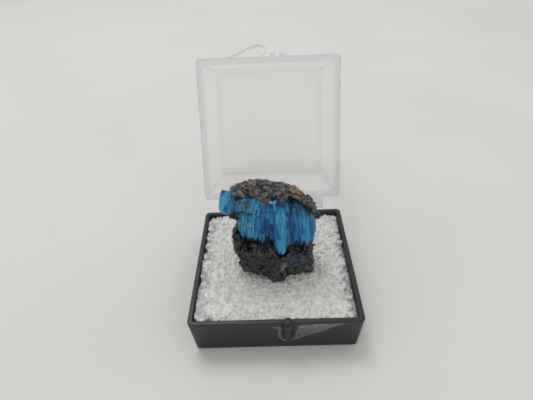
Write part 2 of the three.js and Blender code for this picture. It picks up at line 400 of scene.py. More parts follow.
def skin(name: str, rings: Sequence[Sequence[Point]]) -> Piece:
    """Make a closed solid over a row of rings, with a flat cap at each end.

    Args:
        name: the piece's name.
        rings: rings of equally many points.

    Returns:
        The solid.
    """
    count = len(rings[0])
    faces: list[tuple[int, ...]] = list(strip_faces(len(rings), count, closed=True))
    faces.append(tuple(range(count)))
    faces.append(tuple(range((len(rings) - 1) * count, len(rings) * count)))
    return new_piece(name, [point for ring in rings for point in ring], faces)


def combine(base: Piece, tool: Piece, how: Join) -> None:
    """Add a solid to another, or cut it away, and remove the second one.

    Args:
        base: the solid that is kept.
        tool: the second solid.
        how: what to do with it.
    """
    modifier = base.modifiers.new(how.name, "BOOLEAN")
    modifier.operation = how.value
    modifier.solver = "EXACT"
    modifier.object = tool
    settle(base)
    bpy.data.objects.remove(tool)


def round_edges(piece: Piece, radius: float, segments: int = 3, angle_deg: float = 35.0) -> None:
    """Round a piece's sharp edges and keep the result as its mesh.

    Args:
        piece: the piece.
        radius: how far an edge is rounded.
        segments: the steps of a rounding.
        angle_deg: the angle past which an edge is sharp.
    """
    bevel = piece.modifiers.new("round", "BEVEL")
    bevel.width = radius
    bevel.segments = segments
    bevel.limit_method = "ANGLE"
    bevel.angle_limit = math.radians(angle_deg)
    settle(piece)


def drop_chips(piece: Piece) -> None:
    """Keep only a piece's largest closed skin, without loose chips and voids.

    Args:
        piece: the piece.
    """
    work = bmesh.new()
    work.from_mesh(piece.data)
    left = set(work.verts)
    skins = []
    while left:
        linked = [left.pop()]
        for vertex in linked:
            beside = {edge.other_vert(vertex) for edge in vertex.link_edges} & left
            left -= beside
            linked.extend(beside)
        skins.append(linked)
    skins.sort(key=len)
    bmesh.ops.delete(work, geom=[vertex for one in skins[:-1] for vertex in one], context="VERTS")
    work.to_mesh(piece.data)
    work.free()


def fuse(piece: Piece, voxel: float, rounds: int) -> None:
    """Make one even closed skin of all of a piece's overlapping solids.

    Args:
        piece: the piece.
        voxel: the skin's grid.
        rounds: how many times the skin is softened.
    """
    remesh = piece.modifiers.new("fuse", "REMESH")
    remesh.mode = "VOXEL"
    remesh.voxel_size = voxel
    soften = piece.modifiers.new("soften", "SMOOTH")
    soften.factor = 0.5
    soften.iterations = rounds
    settle(piece)
    drop_chips(piece)


def shade(piece: Piece, crease_deg: float, flat_walls: bool = False) -> None:
    """Shade a piece smooth, with sharp edges past an angle.

    Args:
        piece: the piece.
        crease_deg: the angle past which an edge is sharp.
        flat_walls: keeps large faces flat up to the roundings beside them.
    """
    piece.data.shade_smooth()
    piece.data.set_sharp_from_angle(angle=math.radians(crease_deg))
    if flat_walls:
        even = piece.modifiers.new("even", "WEIGHTED_NORMAL")
        even.keep_sharp = True
        settle(piece)


def arc(centre: Flat, radius: float, start_deg: float, end_deg: float, steps: int) -> list[Flat]:
    """Points along an arc.

    Args:
        centre: the arc's middle.
        radius: its radius.
        start_deg: the angle of its first point.
        end_deg: the angle of its last point.
        steps: how many straight steps it has.

    Returns:
        The points, in order.
    """
    angles = np.radians(np.linspace(start_deg, end_deg, steps + 1))
    return [(centre[0] + radius * math.cos(a), centre[1] + radius * math.sin(a)) for a in angles]


def square_ring(half: float, corner: float, z: float, steps: int = 8) -> list[Point]:
    """A level ring: a square with round corners.

    Args:
        half: half the square's width.
        corner: the radius of its corners.
        z: its height.
        steps: how many steps each corner has.

    Returns:
        The ring's points.
    """
    inner = half - corner
    ring: list[Point] = []
    for quarter, (sx, sy) in enumerate(((1, 1), (-1, 1), (-1, -1), (1, -1))):
        turn = 90 * quarter
        ring += [(x, y, z) for x, y in arc((sx * inner, sy * inner), corner, turn, turn + 90, steps)]
    return ring


def round_ring(middle: Point, radius: float, across: bool = False, steps: int = 28) -> list[Point]:
    """A ring about an upright axis, or about one that runs across the box.

    Args:
        middle: the ring's middle.
        radius: its radius.
        across: whether its axis runs across the box.
        steps: how many points it has.

    Returns:
        The ring's points.
    """
    flat = arc((0.0, 0.0), radius, 0, 360 * (1 - 1 / steps), steps - 1)
    x, y, z = middle
    if across:
        return [(x, y + a, z + b) for a, b in flat]
    return [(x + a, y + b, z) for a, b in flat]


def prism(name: str, outline: Sequence[Flat], x: float, width: float, rounding: float) -> Piece:
    """A side outline, as y and z, pushed out across the box, with its edges rounded.

    Args:
        name: the piece's name.
        outline: the outline.
        x: the solid's middle.
        width: its width.
        rounding: how far its edges are rounded.

    Returns:
        The solid.
    """
    rings = [[(x + side * width / 2, y, z) for y, z in outline] for side in (-1, 1)]
    piece = skin(name, rings)
    round_edges(piece, rounding)
    return piece


def keep_floats(piece: Piece, name: str, values: Rows) -> None:
    """Store one number for each of a piece's points.

    Args:
        piece: the piece.
        name: the attribute's name.
        values: the numbers.
    """
    attributes = piece.data.attributes
    attribute = attributes.get(name) or attributes.new(name, "FLOAT", "POINT")
    attribute.data.foreach_set("value", np.asarray(values, dtype=np.float32))


def numbers_of(items: Any, field: str, width: int) -> Rows:
    """Read a field of all of a mesh's items of one kind.

    Args:
        items: the mesh's items, such as its points.
        field: the field's name.
        width: how many numbers an item has there.

    Returns:
        The numbers, an item to a row.
    """
    rows = np.zeros(len(items) * width, dtype=np.float32)
    items.foreach_get(field, rows)
    return rows.reshape(-1, width).astype(float)


def floats_of(piece: Piece, name: str) -> Rows:
    """The numbers that a piece keeps for its points."""
    return numbers_of(piece.data.attributes[name].data, "value", 1)[:, 0]


def points_of(piece: Piece) -> Rows:
    """A piece's points as rows of three numbers."""
    return numbers_of(piece.data.vertices, "co", 3)


def normals_of(piece: Piece) -> Rows:
    """The normals at a piece's points as rows of three numbers."""
    return numbers_of(piece.data.vertex_normals, "vector", 3)


def hollows_of(piece: Piece, rounds: int, depth: float) -> Rows:
    """How deep each of a piece's points lies between its neighbours.

    Args:
        piece: the piece.
        rounds: how many rings of neighbours count.
        depth: how far in or out makes a full hollow or a full ridge.

    Returns:
        A share from 0 on a ridge to 1 in a hollow.
    """
    ends = np.zeros(len(piece.data.edges) * 2, dtype=np.int32)
    piece.data.edges.foreach_get("vertices", ends)
    here = np.concatenate([ends[0::2], ends[1::2]])
    there = np.concatenate([ends[1::2], ends[0::2]])
    points = points_of(piece)
    degree = np.bincount(here, minlength=len(points))
    soft = points
    for _ in range(rounds):
        sums = [np.bincount(here, weights=soft[there, axis], minlength=len(points)) for axis in range(3)]
        soft = np.column_stack(sums) / degree[:, None]
    sunk = ((soft - points) * normals_of(piece)).sum(axis=1)
    return np.clip(0.5 + 0.5 * sunk / depth, 0, 1)


def place_points(piece: Piece, points: Rows) -> None:
    """Move a piece's points to new places."""
    piece.data.vertices.foreach_set("co", points.astype(np.float32).ravel())
    piece.data.update()


def hand_over(piece: Piece, material: Material, body: Body, slot: Slot, *nodes: str) -> None:
    """Turn a finished piece to metres, dress it and tie it to the CAD model.

    Args:
        piece: the piece, in millimetres.
        material: its finish.
        body: the body that it moves with.
        slot: the record's slot for its finish; not used.
        nodes: the CAD nodes that it stands for.
    """
    piece.data.transform(Matrix.Scale(MM, 4))
    piece.data.materials.clear()
    piece.data.materials.append(material)
    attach(piece, body.value)
    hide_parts(*nodes)
    faces = len(piece.data.polygons)
    log.info("%s: %d faces, on %s, for %s", piece.name, faces, body.value, ", ".join(nodes))


# Noise and limits

def hashed(cells: Rows, seed: int) -> Rows:
    """Give each lattice cell a fixed random number.

    Args:
        cells: whole-number cells, three to a row.
        seed: picks another set of numbers.

    Returns:
        Numbers from 0 to 1.
    """
    mixed = np.bitwise_xor.reduce(cells.astype(np.int64) * HASH_PRIMES, axis=-1) + seed * HASH_SEED
    for shift, factor in HASH_ROUNDS:
        mixed = (mixed ^ (mixed >> shift)) * factor
    return ((mixed >> 8) & 0xFFFF) / 0xFFFF


def soft_noise(points: Rows, size: float, seed: int) -> Rows:
    """Soft bumps of about one size, from -1 to 1, at each point.

    Args:
        points: where the noise is wanted, three numbers to a row.
        size: about how wide a bump is.
        seed: picks another set of bumps.

    Returns:
        The noise at each point.
    """
    scaled = points / size
    base = np.floor(scaled)
    ease = (scaled - base) ** 2 * (3 - 2 * (scaled - base))
    total = np.zeros(len(points))
    for corner in itertools.product((0, 1), repeat=3):
        share = np.prod(np.where(corner, ease, 1 - ease), axis=1)
        total += share * hashed(base + np.array(corner), seed)
    return 2 * total - 1


def rough_noise(points: Rows, size: float, seed: int, octaves: int = 4) -> Rows:
    """Bumps on bumps, each octave half as large as the one before, from about -1 to 1.

    Args:
        points: where the noise is wanted, three numbers to a row.
        size: how wide the largest bumps are.
        seed: picks another set of bumps.
        octaves: how many sizes of bumps there are.

    Returns:
        The noise at each point.
    """
    total = np.zeros(len(points))
    for octave in range(octaves):
        total += soft_noise(points, size / 2 ** octave, seed + octave) / 2 ** octave
    return total / 1.5


def broken_faces(points: Rows, size: float, seed: int) -> Rows:
    """Flat broken faces of about one size.

    Args:
        points: where the faces are wanted, three numbers to a row.
        size: about how wide a face is.
        seed: picks another set of faces.

    Returns:
        How far out each point lies, from about -1 to 1. All points of a face lie on one tilted plane.
    """
    scaled = points / size
    base = np.floor(scaled)
    best = np.full(len(points), np.inf)
    out = np.zeros(len(points))
    for step in itertools.product((-1, 0, 1), repeat=3):
        cell = base + np.array(step)
        shares = np.column_stack([hashed(cell, seed + axis) for axis in range(7)])
        away = scaled - cell - shares[:, :3]
        far = (away ** 2).sum(axis=1)
        height = shares[:, 6] - 0.5 + (away * (2 * shares[:, 3:6] - 1)).sum(axis=1)
        out = np.where(far < best, height, out)
        best = np.minimum(far, best)
    return out


def nearness(points: Rows, at: Point, reach: Point) -> Rows:
    """How near each point is to a place: 1 there, and falling to 0 past the reach."""
    away = (points - np.array(at)) / np.array(reach)
    return np.exp(-(away ** 2).sum(axis=1))


def kept_below(values: Rows, limit: Rows | float, ease: float) -> Rows:
    """Values that bend over softly to stay below a limit."""
    return limit - ease * np.logaddexp(0, (limit - values) / ease)


# Finishes

def new_material(name: str) -> tuple[Material, Callable[..., Node], Callable[..., None], Socket]:
    """Start a finish.

    Args:
        name: the real material and how its surface was made.

    Returns:
        The material, what adds a node to it, what sets its shader, and the socket with Object coordinates.
    """
    material = bpy.data.materials.new(name)
    material.use_nodes = True
    tree = material.node_tree
    put = partial(add, tree)
    dress = partial(wire, tree, tree.nodes["Principled BSDF"])
    return material, put, dress, put(Kind.COORDS).outputs["Object"]


def stained(put: Callable[..., Node], base: Node, colours: Mapping[Stain, str]) -> Node:
    """Lay stains over a colour, each as strong as its attribute says.

    Args:
        put: adds a node to the finish.
        base: the node with the clean colour.
        colours: the hex colour of each stain.

    Returns:
        The node with the stained colour.
    """
    for stain, code in colours.items():
        mark = put(Kind.MARK, attribute_name=stain.value).outputs["Fac"]
        base = put(Kind.MIX, Factor=mark, A=base, B=code)
    return base


def shadowed(put: Callable[..., Node], base: Node, ridge: str, plain: str, hollow: str) -> Node:
    """Paint shade into a colour in hollows and a highlight onto it on ridges, by the piece's own hollow
    attribute.

    Args:
        put: adds a node to the finish.
        base: the node with the colour.
        ridge: what the colour is multiplied by on ridges.
        plain: what it is multiplied by on flat places.
        hollow: what it is multiplied by in hollows.

    Returns:
        The node with the shadowed colour.
    """
    depth = put(Kind.MARK, attribute_name="hollow").outputs["Fac"]
    shadow = put(Kind.RAMP, depth, stops=((0.1, ridge), (0.9, hollow), (0.5, plain)))
    return put(Kind.DARKEN, Factor=1.0, A=base, B=shadow)


@dataclass(frozen=True)
class TrayPlastic:
    """Black polystyrene, moulded: a satin skin with faint flow marks, dust and a soft grey sheen."""

    colour: str = "#090c11"
    worn: str = "#131821"
    dust: str = "#7d7f82"
    flow_mm: float = 4.0
    grit_mm: float = 0.35
    dust_mm: float = 1.3

    def material(self) -> Material:
        """Build the finish.

        Returns:
            The material.
        """
        material, put, dress, coords = new_material("black_polystyrene_moulded")
        flow = put(Kind.NOISE, coords, Scale=per_metre(self.flow_mm), Detail=5.0, Roughness=0.65)
        skin_tone = put(Kind.RAMP, flow, stops=((0.35, self.colour), (0.75, self.worn)))
        specks = put(Kind.CELLS, coords, Scale=per_metre(self.dust_mm))
        dusty = put(Kind.RANGE, specks, From_Min=0.04, From_Max=0.08, To_Min=0.25, To_Max=0.0)
        toned = put(Kind.MIX, Factor=dusty, A=skin_tone, B=self.dust)
        grit = put(Kind.NOISE, coords, Scale=per_metre(self.grit_mm), Detail=3.0)
        gloss = put(Kind.RANGE, flow, From_Min=0.3, From_Max=0.7, To_Min=0.32, To_Max=0.46)
        bump = put(Kind.BUMP, Strength=0.1, Distance=0.05 * MM, Height=grit)
        dress(Base_Color=toned, Roughness=gloss, Normal=bump, IOR=1.59)
        return material


@dataclass(frozen=True)
class LidPlastic:
    """Clear polystyrene, moulded and polished: see-through, with haze and a violet cast in its edges."""

    colour: str = "#e4eaea"
    rim: str = "#827fb2"
    haze_mm: float = 7.0

    def material(self) -> Material:
        """Build the finish.

        Returns:
            The material.
        """
        material, put, dress, coords = new_material("clear_polystyrene_moulded")
        haze = put(Kind.NOISE, coords, Scale=per_metre(self.haze_mm), Detail=4.0, Roughness=0.7)
        gloss = put(Kind.RANGE, haze, From_Min=0.4, From_Max=0.8, To_Min=0.03, To_Max=0.1)
        thick = put(Kind.MARK, attribute_name="rim").outputs["Fac"]
        cast = put(Kind.MIX, Factor=thick, A=self.colour, B=self.rim)
        clearest = put(Kind.MARK, attribute_name="clearest").outputs["Fac"]
        film = put(Kind.RANGE, clearest, To_Min=0.24, To_Max=0.05)
        dress(Base_Color=cast, Roughness=gloss, IOR=1.2, Transmission_Weight=0.96, Alpha=film)
        return material


@dataclass(frozen=True)
class PadFoam:
    """Expanded polyethylene foam, knife cut: frosted open cells, glinting torn films, a few painted cream
    glints.
    """

    hollow: str = "#d6d6d1"
    film: str = "#f7f7f3"
    # Painted shade near the tray's walls, where the black tray shows through the foam.
    thin: str = "#7b8188"
    warm_glint: str = "#fff6e2"
    film_mm: float = 0.25

    def material(self) -> Material:
        """Build the finish.

        Returns:
            The material.
        """
        material, put, dress, coords = new_material("polyethylene_foam_cut")
        wall = put(Kind.MARK, attribute_name="wall").outputs["Fac"]
        cell = put(Kind.MARK, attribute_name="cell").outputs["Fac"]
        # Cell walls whiter than the hollows: partly the films' own colour, partly painted shade in the cups.
        milk = put(Kind.RAMP, wall, stops=((0.0, self.hollow), (1.0, self.film)))
        # Painted cream-coloured glints on a few cells and torn films.
        glint_share = put(Kind.RANGE, cell, From_Min=0.93, From_Max=0.97, To_Min=0.0, To_Max=0.7)
        glinted = put(Kind.MIX, Factor=glint_share, A=milk, B=self.warm_glint)
        # Painted shade near the tray's walls, where the black tray shows through the foam.
        edge_shade = put(Kind.MARK, attribute_name="thin").outputs["Fac"]
        toned = put(Kind.MIX, Factor=edge_shade, A=glinted, B=self.thin)
        gloss = put(Kind.RANGE, cell, To_Min=0.5, To_Max=0.18)
        film = put(Kind.NOISE, coords, Scale=per_metre(self.film_mm), Detail=3.0)
        bump = put(Kind.BUMP, Strength=0.5, Distance=0.08 * MM, Height=film)
        dress(Base_Color=toned, Roughness=gloss, Normal=bump, IOR=1.5, Subsurface_Weight=0.6,
              Subsurface_Radius=(1.0, 1.0, 1.0), Subsurface_Scale=1.2 * MM)
        return material


@dataclass(frozen=True)
class BrokenRock:
    """Broken wall rock: dull dark grains with bright cleavage faces, stained by what weathered out of it."""

    name: str
    dark: str
    light: str
    rust: str = "#ad8c6c"
    verdigris: str = "#6fb7a0"
    pale: str = "#b4c8cb"
    soil: str = "#16171a"
    blue: str = "#1d4d76"
    grain_mm: float = 0.7
    speck_mm: float = 0.35
    shine: float = 0.3
    dull: float = 0.75

    def material(self) -> Material:
        """Build the finish.

        Returns:
            The material.
        """
        material, put, dress, coords = new_material(self.name)
        grain = put(Kind.NOISE, coords, Scale=per_metre(self.grain_mm), Detail=6.0, Roughness=0.7)
        tone = put(Kind.RAMP, grain, stops=((0.38, self.dark), (0.66, self.light)))
        marked = stained(put, tone, {
            Stain.SOIL: self.soil, Stain.RUST: self.rust, Stain.VERDIGRIS: self.verdigris,
            Stain.PALE: self.pale, Stain.BLUE: self.blue})
        # Painted shade in the hollows and a painted highlight on the ridges, over the grains' own tone.
        coloured = shadowed(put, marked, "#ffffff", "#b4b4b4", "#4e4c4c")
        speck = put(Kind.CELLS, coords, Scale=per_metre(self.speck_mm))
        gloss = put(Kind.RANGE, speck.outputs["Color"], From_Min=0.2, From_Max=0.8, To_Min=self.shine,
                    To_Max=self.dull)
        bump = put(Kind.BUMP, Strength=0.8, Distance=0.15 * MM, Height=grain)
        dress(Base_Color=coloured, Roughness=gloss, Normal=bump, IOR=1.6)
        return material


@dataclass(frozen=True)
class Chalcanthite:
    """Chalcanthite, a cross-fibre vein: glassy blades, deep blue where thick and cyan where thin."""

    deep: str = "#113f70"
    royal: str = "#1a649f"
    azure: str = "#2f98cb"
    cyan: str = "#5bbbdc"
    earthy: str = "#62858b"
    soil: str = "#1d1d20"
    pale: str = "#a6d6d8"
    rust: str = "#7a4a38"
    fibre_mm: float = 0.26
    fibre_stretch: float = 0.05

    def material(self) -> Material:
        """Build the finish.

        Returns:
            The material.
        """
        material, put, dress, coords = new_material("chalcanthite_cross_fibre")
        along = put(Kind.STRETCH, coords, Scale=(1.0, 1.0, self.fibre_stretch))
        streak = put(Kind.NOISE, along, Scale=per_metre(self.fibre_mm), Detail=4.0, Roughness=0.6)
        tone = put(Kind.MARK, attribute_name="tone").outputs["Fac"]
        mixed = put(Kind.TIMES_PLUS, streak, 1.1, tone)
        shifted = put(Kind.MINUS, mixed, 0.55)
        blue = put(Kind.RAMP, shifted,
                   stops=((0.08, self.deep), (0.98, self.cyan), (0.36, self.royal), (0.68, self.azure)))
        marked = stained(put, blue, {
            Stain.EARTHY: self.earthy, Stain.PALE: self.pale, Stain.RUST: self.rust, Stain.SOIL: self.soil})
        # Painted shade between the blades, in their hollows, and a painted highlight on their ridges.
        coloured = shadowed(put, marked, "#ffffff", "#f2f6f8", "#39536e")
        gloss = put(Kind.RANGE, streak, From_Min=0.3, From_Max=0.7, To_Min=0.25, To_Max=0.5)
        bump = put(Kind.BUMP, Strength=0.5, Distance=0.1 * MM, Height=streak)
        dress(Base_Color=coloured, Roughness=gloss, Normal=bump, IOR=1.53, Specular_IOR_Level=0.25,
              Subsurface_Weight=0.15, Subsurface_Radius=(0.3, 0.8, 1.0), Subsurface_Scale=0.5 * MM)
        return material


@dataclass(frozen=True)
class ClearTape:
    """Polypropylene tape, cast and peeled: a clear film that shows by gloss, wrinkles and patchy glue."""

    colour: str = "#b8bcc0"
    glue_mm: float = 2.5

    def material(self) -> Material:
        """Build the finish.

        Returns:
            The material.
        """
        material, put, dress, coords = new_material("polypropylene_tape_clear")
        glue = put(Kind.NOISE, coords, Scale=per_metre(self.glue_mm), Detail=3.0)
        gloss = put(Kind.RANGE, glue, From_Min=0.35, From_Max=0.7, To_Min=0.18, To_Max=0.3)
        film = put(Kind.RANGE, glue, From_Min=0.3, From_Max=0.7, To_Min=0.14, To_Max=0.42)
        dress(Base_Color=self.colour, Roughness=gloss, IOR=1.49, Transmission_Weight=0.8, Alpha=film)
        return material


@dataclass(frozen=True)
class PalePaper:
    """Matt white paper for the floor, with a barely seen tone."""

    light: str = "#eae9e5"
    dark: str = "#e6e5df"
    blot_mm: float = 60.0

    def material(self) -> Material:
        """Build the finish.

        Returns:
            The material.
        """
        material, put, dress, coords = new_material("matt_paper")
        blot = put(Kind.NOISE, coords, Scale=per_metre(self.blot_mm), Detail=2.0)
        tone = put(Kind.RAMP, blot, stops=((0.3, self.dark), (0.7, self.light)))
        dress(Base_Color=tone, Roughness=0.9)
        return material


# Box

@dataclass
class Hinge:
    """The hinge line behind the tray, and the round knuckles about it: each ear is inside of its lug."""

    y: float
    z: float
    lug_x: float = 11.5
    radius: float = 1.25
    pin_radius: float = 0.55
    pin_play: float = 0.15
    lug_width: float = 2.4
    ear_width: float = 1.1
    side_play: float = 0.3
    rounding: float = 0.18

    def knuckle(self, wall_y: float, foot: float, head: float) -> list[Flat]:
        """The side outline of a knuckle with its arm to a wall.

        Args:
            wall_y: where the arm starts.
            foot: the arm's lower edge there.
            head: its upper edge there.

        Returns:
            The outline as y and z.
        """
        angles = []
        for z, side in ((foot, 1), (head, -1)):
            away = math.hypot(wall_y - self.y, z - self.z)
            toward = math.atan2(z - self.z, wall_y - self.y)
            angles.append(math.degrees(toward + side * math.acos(self.radius / away)))
        start, end = angles
        end += 360 * math.ceil((start - end) / 360)
        return [(wall_y, foot), *arc((self.y, self.z), self.radius, start, end, 22), (wall_y, head)]

    @property
    def ear_x(self) -> float:
        """How far an ear's middle is from the box's."""
        return self.lug_x - self.lug_width / 2 - self.side_play - self.ear_width / 2

    def bar(self, x: float, radius: float, length: float) -> Piece:
        """A round bar on the hinge line, in the middle of a knuckle."""
        ends = (x - length / 2, x + length / 2)
        return skin("bar", [round_ring((end, self.y, self.z), radius, across=True) for end in ends])


@dataclass
class Tray:
    """The black tray: a square shell with draft, a catch post in front and two hinge ears behind."""

    hinge: Hinge
    half: float = 16.7
    height: float = 8.5
    draft: float = 0.6
    wall: float = 1.0
    floor: float = 1.2
    corner: float = 1.0
    foot_edge: float = 0.3
    rim_edge: float = 0.24
    floor_fillet: float = 0.5
    ear_foot: float = 5.0
    ear_head: float = 7.3
    catch_x: float = 2.2
    post_radius: float = 1.06
    stem_radius: float = 0.9
    post_foot: float = 4.0
    foot_round: float = 0.4
    post_groove: float = 6.8
    groove_depth: float = 0.2
    post_top: float = 9.2
    dome_round: float = 0.75
    dome_deg: float = 84

    def outer_half(self, z: float) -> float:
        """Half the tray's width at a height."""
        return self.half - self.draft * (1 - z / self.height)

    def shell(self) -> Piece:
        """The tray's shell, from its foot round the rim to its floor.

        Returns:
            The shell.
        """
        foot = self.outer_half(0)
        inside = self.half - self.wall
        fillet = self.floor_fillet
        low_inside = self.outer_half(self.floor) - self.wall
        rim_z = self.height - self.rim_edge
        profile = [
            *arc((foot - self.foot_edge, self.foot_edge), self.foot_edge, -90, 0, 5),
            *arc((self.half - self.rim_edge, rim_z), self.rim_edge, 0, 90, 5),
            *arc((inside + self.rim_edge, rim_z), self.rim_edge, 90, 180, 5),
            *arc((low_inside - fillet, self.floor + fillet), fillet, 0, -90, 4),
        ]
        rings = []
        for half, z in profile:
            corner = self.corner - 0.5 * max(self.outer_half(z) - half, 0)
            rings.append(square_ring(half, corner, z))
        return skin("moulded_tray", rings)

    def post(self) -> Piece:
        """The catch post: a stem, a groove and a domed head on one upright axis.

        Returns:
            The post.
        """
        foot, depth, dome = self.foot_round, self.groove_depth, self.dome_round
        neck = self.stem_radius - depth
        profile = [
            *arc((self.stem_radius - foot, self.post_foot + foot), foot, -90, 0, 4),
            (self.stem_radius, self.post_groove - depth), (neck, self.post_groove),
            (neck, self.post_groove + depth), (self.post_radius, self.post_groove + 2 * depth),
            *arc((self.post_radius - dome, self.post_top - dome), dome, 0, self.dome_deg, 7),
        ]
        return skin("post", [round_ring((self.catch_x, -self.half, z), radius) for radius, z in profile])

    def ears(self) -> list[Piece]:
        """The two hinge ears with their pin holes.

        Returns:
            The ears.
        """
        made = []
        outline = self.hinge.knuckle(self.outer_half(0), self.ear_foot, self.ear_head)
        for x in (-self.hinge.ear_x, self.hinge.ear_x):
            arm = prism("ear", outline, x, self.hinge.ear_width, self.hinge.rounding)
            hole = self.hinge.bar(x, self.hinge.pin_radius + self.hinge.pin_play, self.hinge.ear_width + 1)
            combine(arm, hole, Join.CUT)
            made.append(arm)
        return made

    def build(self) -> None:
        """Build the tray and dress it."""
        piece = self.shell()
        for solid in (self.post(), *self.ears()):
            combine(piece, solid, Join.ADD)
        shade(piece, MOULDED_CREASE_DEG, flat_walls=True)
        hand_over(piece, TrayPlastic().material(), Body.BOX, Slot.TRAY, "tray")


@dataclass
class Lid:
    """The clear lid: a deep square shell with a bead round its rim, made closed and then laid open."""

    hinge: Hinge
    open_deg: float
    rim: float = 8.65
    depth: float = 28.9
    half: float = 17.0
    bead_step: float = 0.35
    bead_height: float = 1.3
    wall: float = 1.1
    draft: float = 0.45
    rim_draft: float = 0.01
    bead_chamfer: Flat = (0.08, 0.12)
    corner: float = 1.0
    least_corner: float = 0.6
    edge: float = 0.7
    rim_edge: float = 0.2
    fillet: float = 0.6
    lug_foot: float = 9.1
    lug_head: float = 11.2
    catch_x: float = 2.2
    notch_width: float = 2.6
    notch_height: float = 0.9
    notch_depth: float = 2.5
    notch_past: Flat = (2.0, 1.0)
    root: float = 0.3
    tooth_pitch: float = 2.2
    tooth_width: float = 1.2
    tooth_height: float = 1.1
    tooth_lip: float = 0.45
    tooth_reach: float = 0.8
    tooth_rounding: float = 0.2
    edge_tint: float = 0.6

    def lay_open(self, piece: Piece) -> None:
        """Turn a piece that was made on the closed lid to where the open lid is.

        Args:
            piece: the piece.
        """
        pivot = Matrix.Translation((0, self.hinge.y, self.hinge.z))
        turn = Matrix.Rotation(math.radians(-self.open_deg), 4, "X")
        piece.data.transform(pivot @ turn @ pivot.inverted())

    def shell(self) -> Piece:
        """The lid's shell, from its top round the rim to its inside.

        Returns:
            The shell.
        """
        side = self.half - self.bead_step
        head = side - self.draft
        top = self.rim + self.depth
        inside_low = side - self.wall
        inside_high = head - self.wall
        ceiling = top - self.wall
        bead_top = self.rim + self.bead_height
        profile = [
            *arc((head - self.edge, top - self.edge), self.edge, 90, 0, 6),
            (side, bead_top + self.bead_step), (self.half - self.bead_chamfer[0], bead_top),
            (self.half, bead_top - self.bead_chamfer[1]),
            *arc((self.half - self.rim_edge, self.rim + self.rim_edge), self.rim_edge, 0, -90, 4),
            *arc((inside_low + self.rim_edge, self.rim + self.rim_edge), self.rim_edge, -90, -180, 4),
            (inside_low - self.rim_draft, bead_top),
            (inside_low - 2 * self.rim_draft, bead_top + self.bead_step),
            *arc((inside_high - self.fillet, ceiling - self.fillet), self.fillet, 0, 90, 4),
        ]
        rings = []
        for half, z in profile:
            corner = self.corner - 0.5 * max(side - half, 0)
            rings.append(square_ring(half, max(corner, self.least_corner), z))
        return skin("clear_lid", rings)

    def tooth(self, x: float) -> Piece:
        """A wedge-shaped catch tooth on the bead's front face.

        Args:
            x: the tooth's middle.

        Returns:
            The tooth.
        """
        low = self.rim + self.notch_height
        root = self.root - self.half
        tip = -self.half - self.tooth_reach
        wedge = [
            (root, low), (root, low + self.tooth_height), (-self.half, low + self.tooth_height),
            (tip, low + self.tooth_lip), (tip, low),
        ]
        return prism("tooth", wedge, x, self.tooth_width, self.tooth_rounding)

    def notch(self) -> Piece:
        """The block that is cut from the rim where the catch post passes.

        Returns:
            The block.
        """
        across = self.notch_width / 2
        front, back = -self.half - self.notch_past[0], -self.half + self.notch_depth
        low, high = self.rim - self.notch_past[1], self.rim + self.notch_height
        outline = [(front, low), (back, low), (back, high), (front, high)]
        return skin("notch", [[(self.catch_x + end * across, y, z) for y, z in outline] for end in (-1, 1)])

    def thick_edges(self, points: Rows) -> Rows:
        """How much thick plastic is looked through at each point: most at the rim, some at the edges.

        Args:
            points: the closed lid's points.

        Returns:
            A share from 0 to 1 for each point.
        """
        x, y, z = np.abs(points).T
        top = self.rim + self.depth
        share = np.where(np.abs(x - y) < self.corner / 2, self.edge_tint, 0.0)
        for high, radius in ((top, self.edge), (top - self.wall, self.fillet)):
            share[np.abs(z - high + radius / 2) < radius / 2 - NEAR] = self.edge_tint
            share[np.abs(z - high) < NEAR] = 0.0
        share[z < self.rim + self.bead_height + NEAR] = 1.0
        return share

    def hinge_panel(self, points: Rows) -> Rows:
        """Find the hinge wall above the bead, which is the clearest wall in the photograph.

        Args:
            points: the closed lid's points.

        Returns:
            True for each point of that wall.
        """
        x, y, z = points.T
        low = self.rim + self.bead_height + NEAR
        high = self.rim + self.depth - self.wall - NEAR
        return (y - np.abs(x) > self.corner / 2) & (z > low) & (z < high)

    def build(self) -> None:
        """Build the lid and dress it."""
        piece = self.shell()
        hinge = self.hinge
        arm = hinge.knuckle(self.half - self.bead_step - self.root, self.lug_foot, self.lug_head)
        beside = hinge.side_play + hinge.ear_width
        for side in (-1, 1):
            x = side * hinge.lug_x
            lug = prism("lug", arm, x, hinge.lug_width, hinge.rounding)
            pin = hinge.bar(x - side * beside / 2, hinge.pin_radius, hinge.lug_width + beside)
            combine(lug, pin, Join.ADD)
            combine(piece, lug, Join.ADD)
            combine(piece, self.tooth(self.catch_x + side * self.tooth_pitch / 2), Join.ADD)
        combine(piece, self.notch(), Join.CUT)
        keep_floats(piece, "rim", self.thick_edges(points_of(piece)))
        keep_floats(piece, "clearest", self.hinge_panel(points_of(piece)))
        shade(piece, MOULDED_CREASE_DEG, flat_walls=True)
        self.lay_open(piece)
        hand_over(piece, LidPlastic().material(), Body.COVER, Slot.LID, "lid")


# Foam

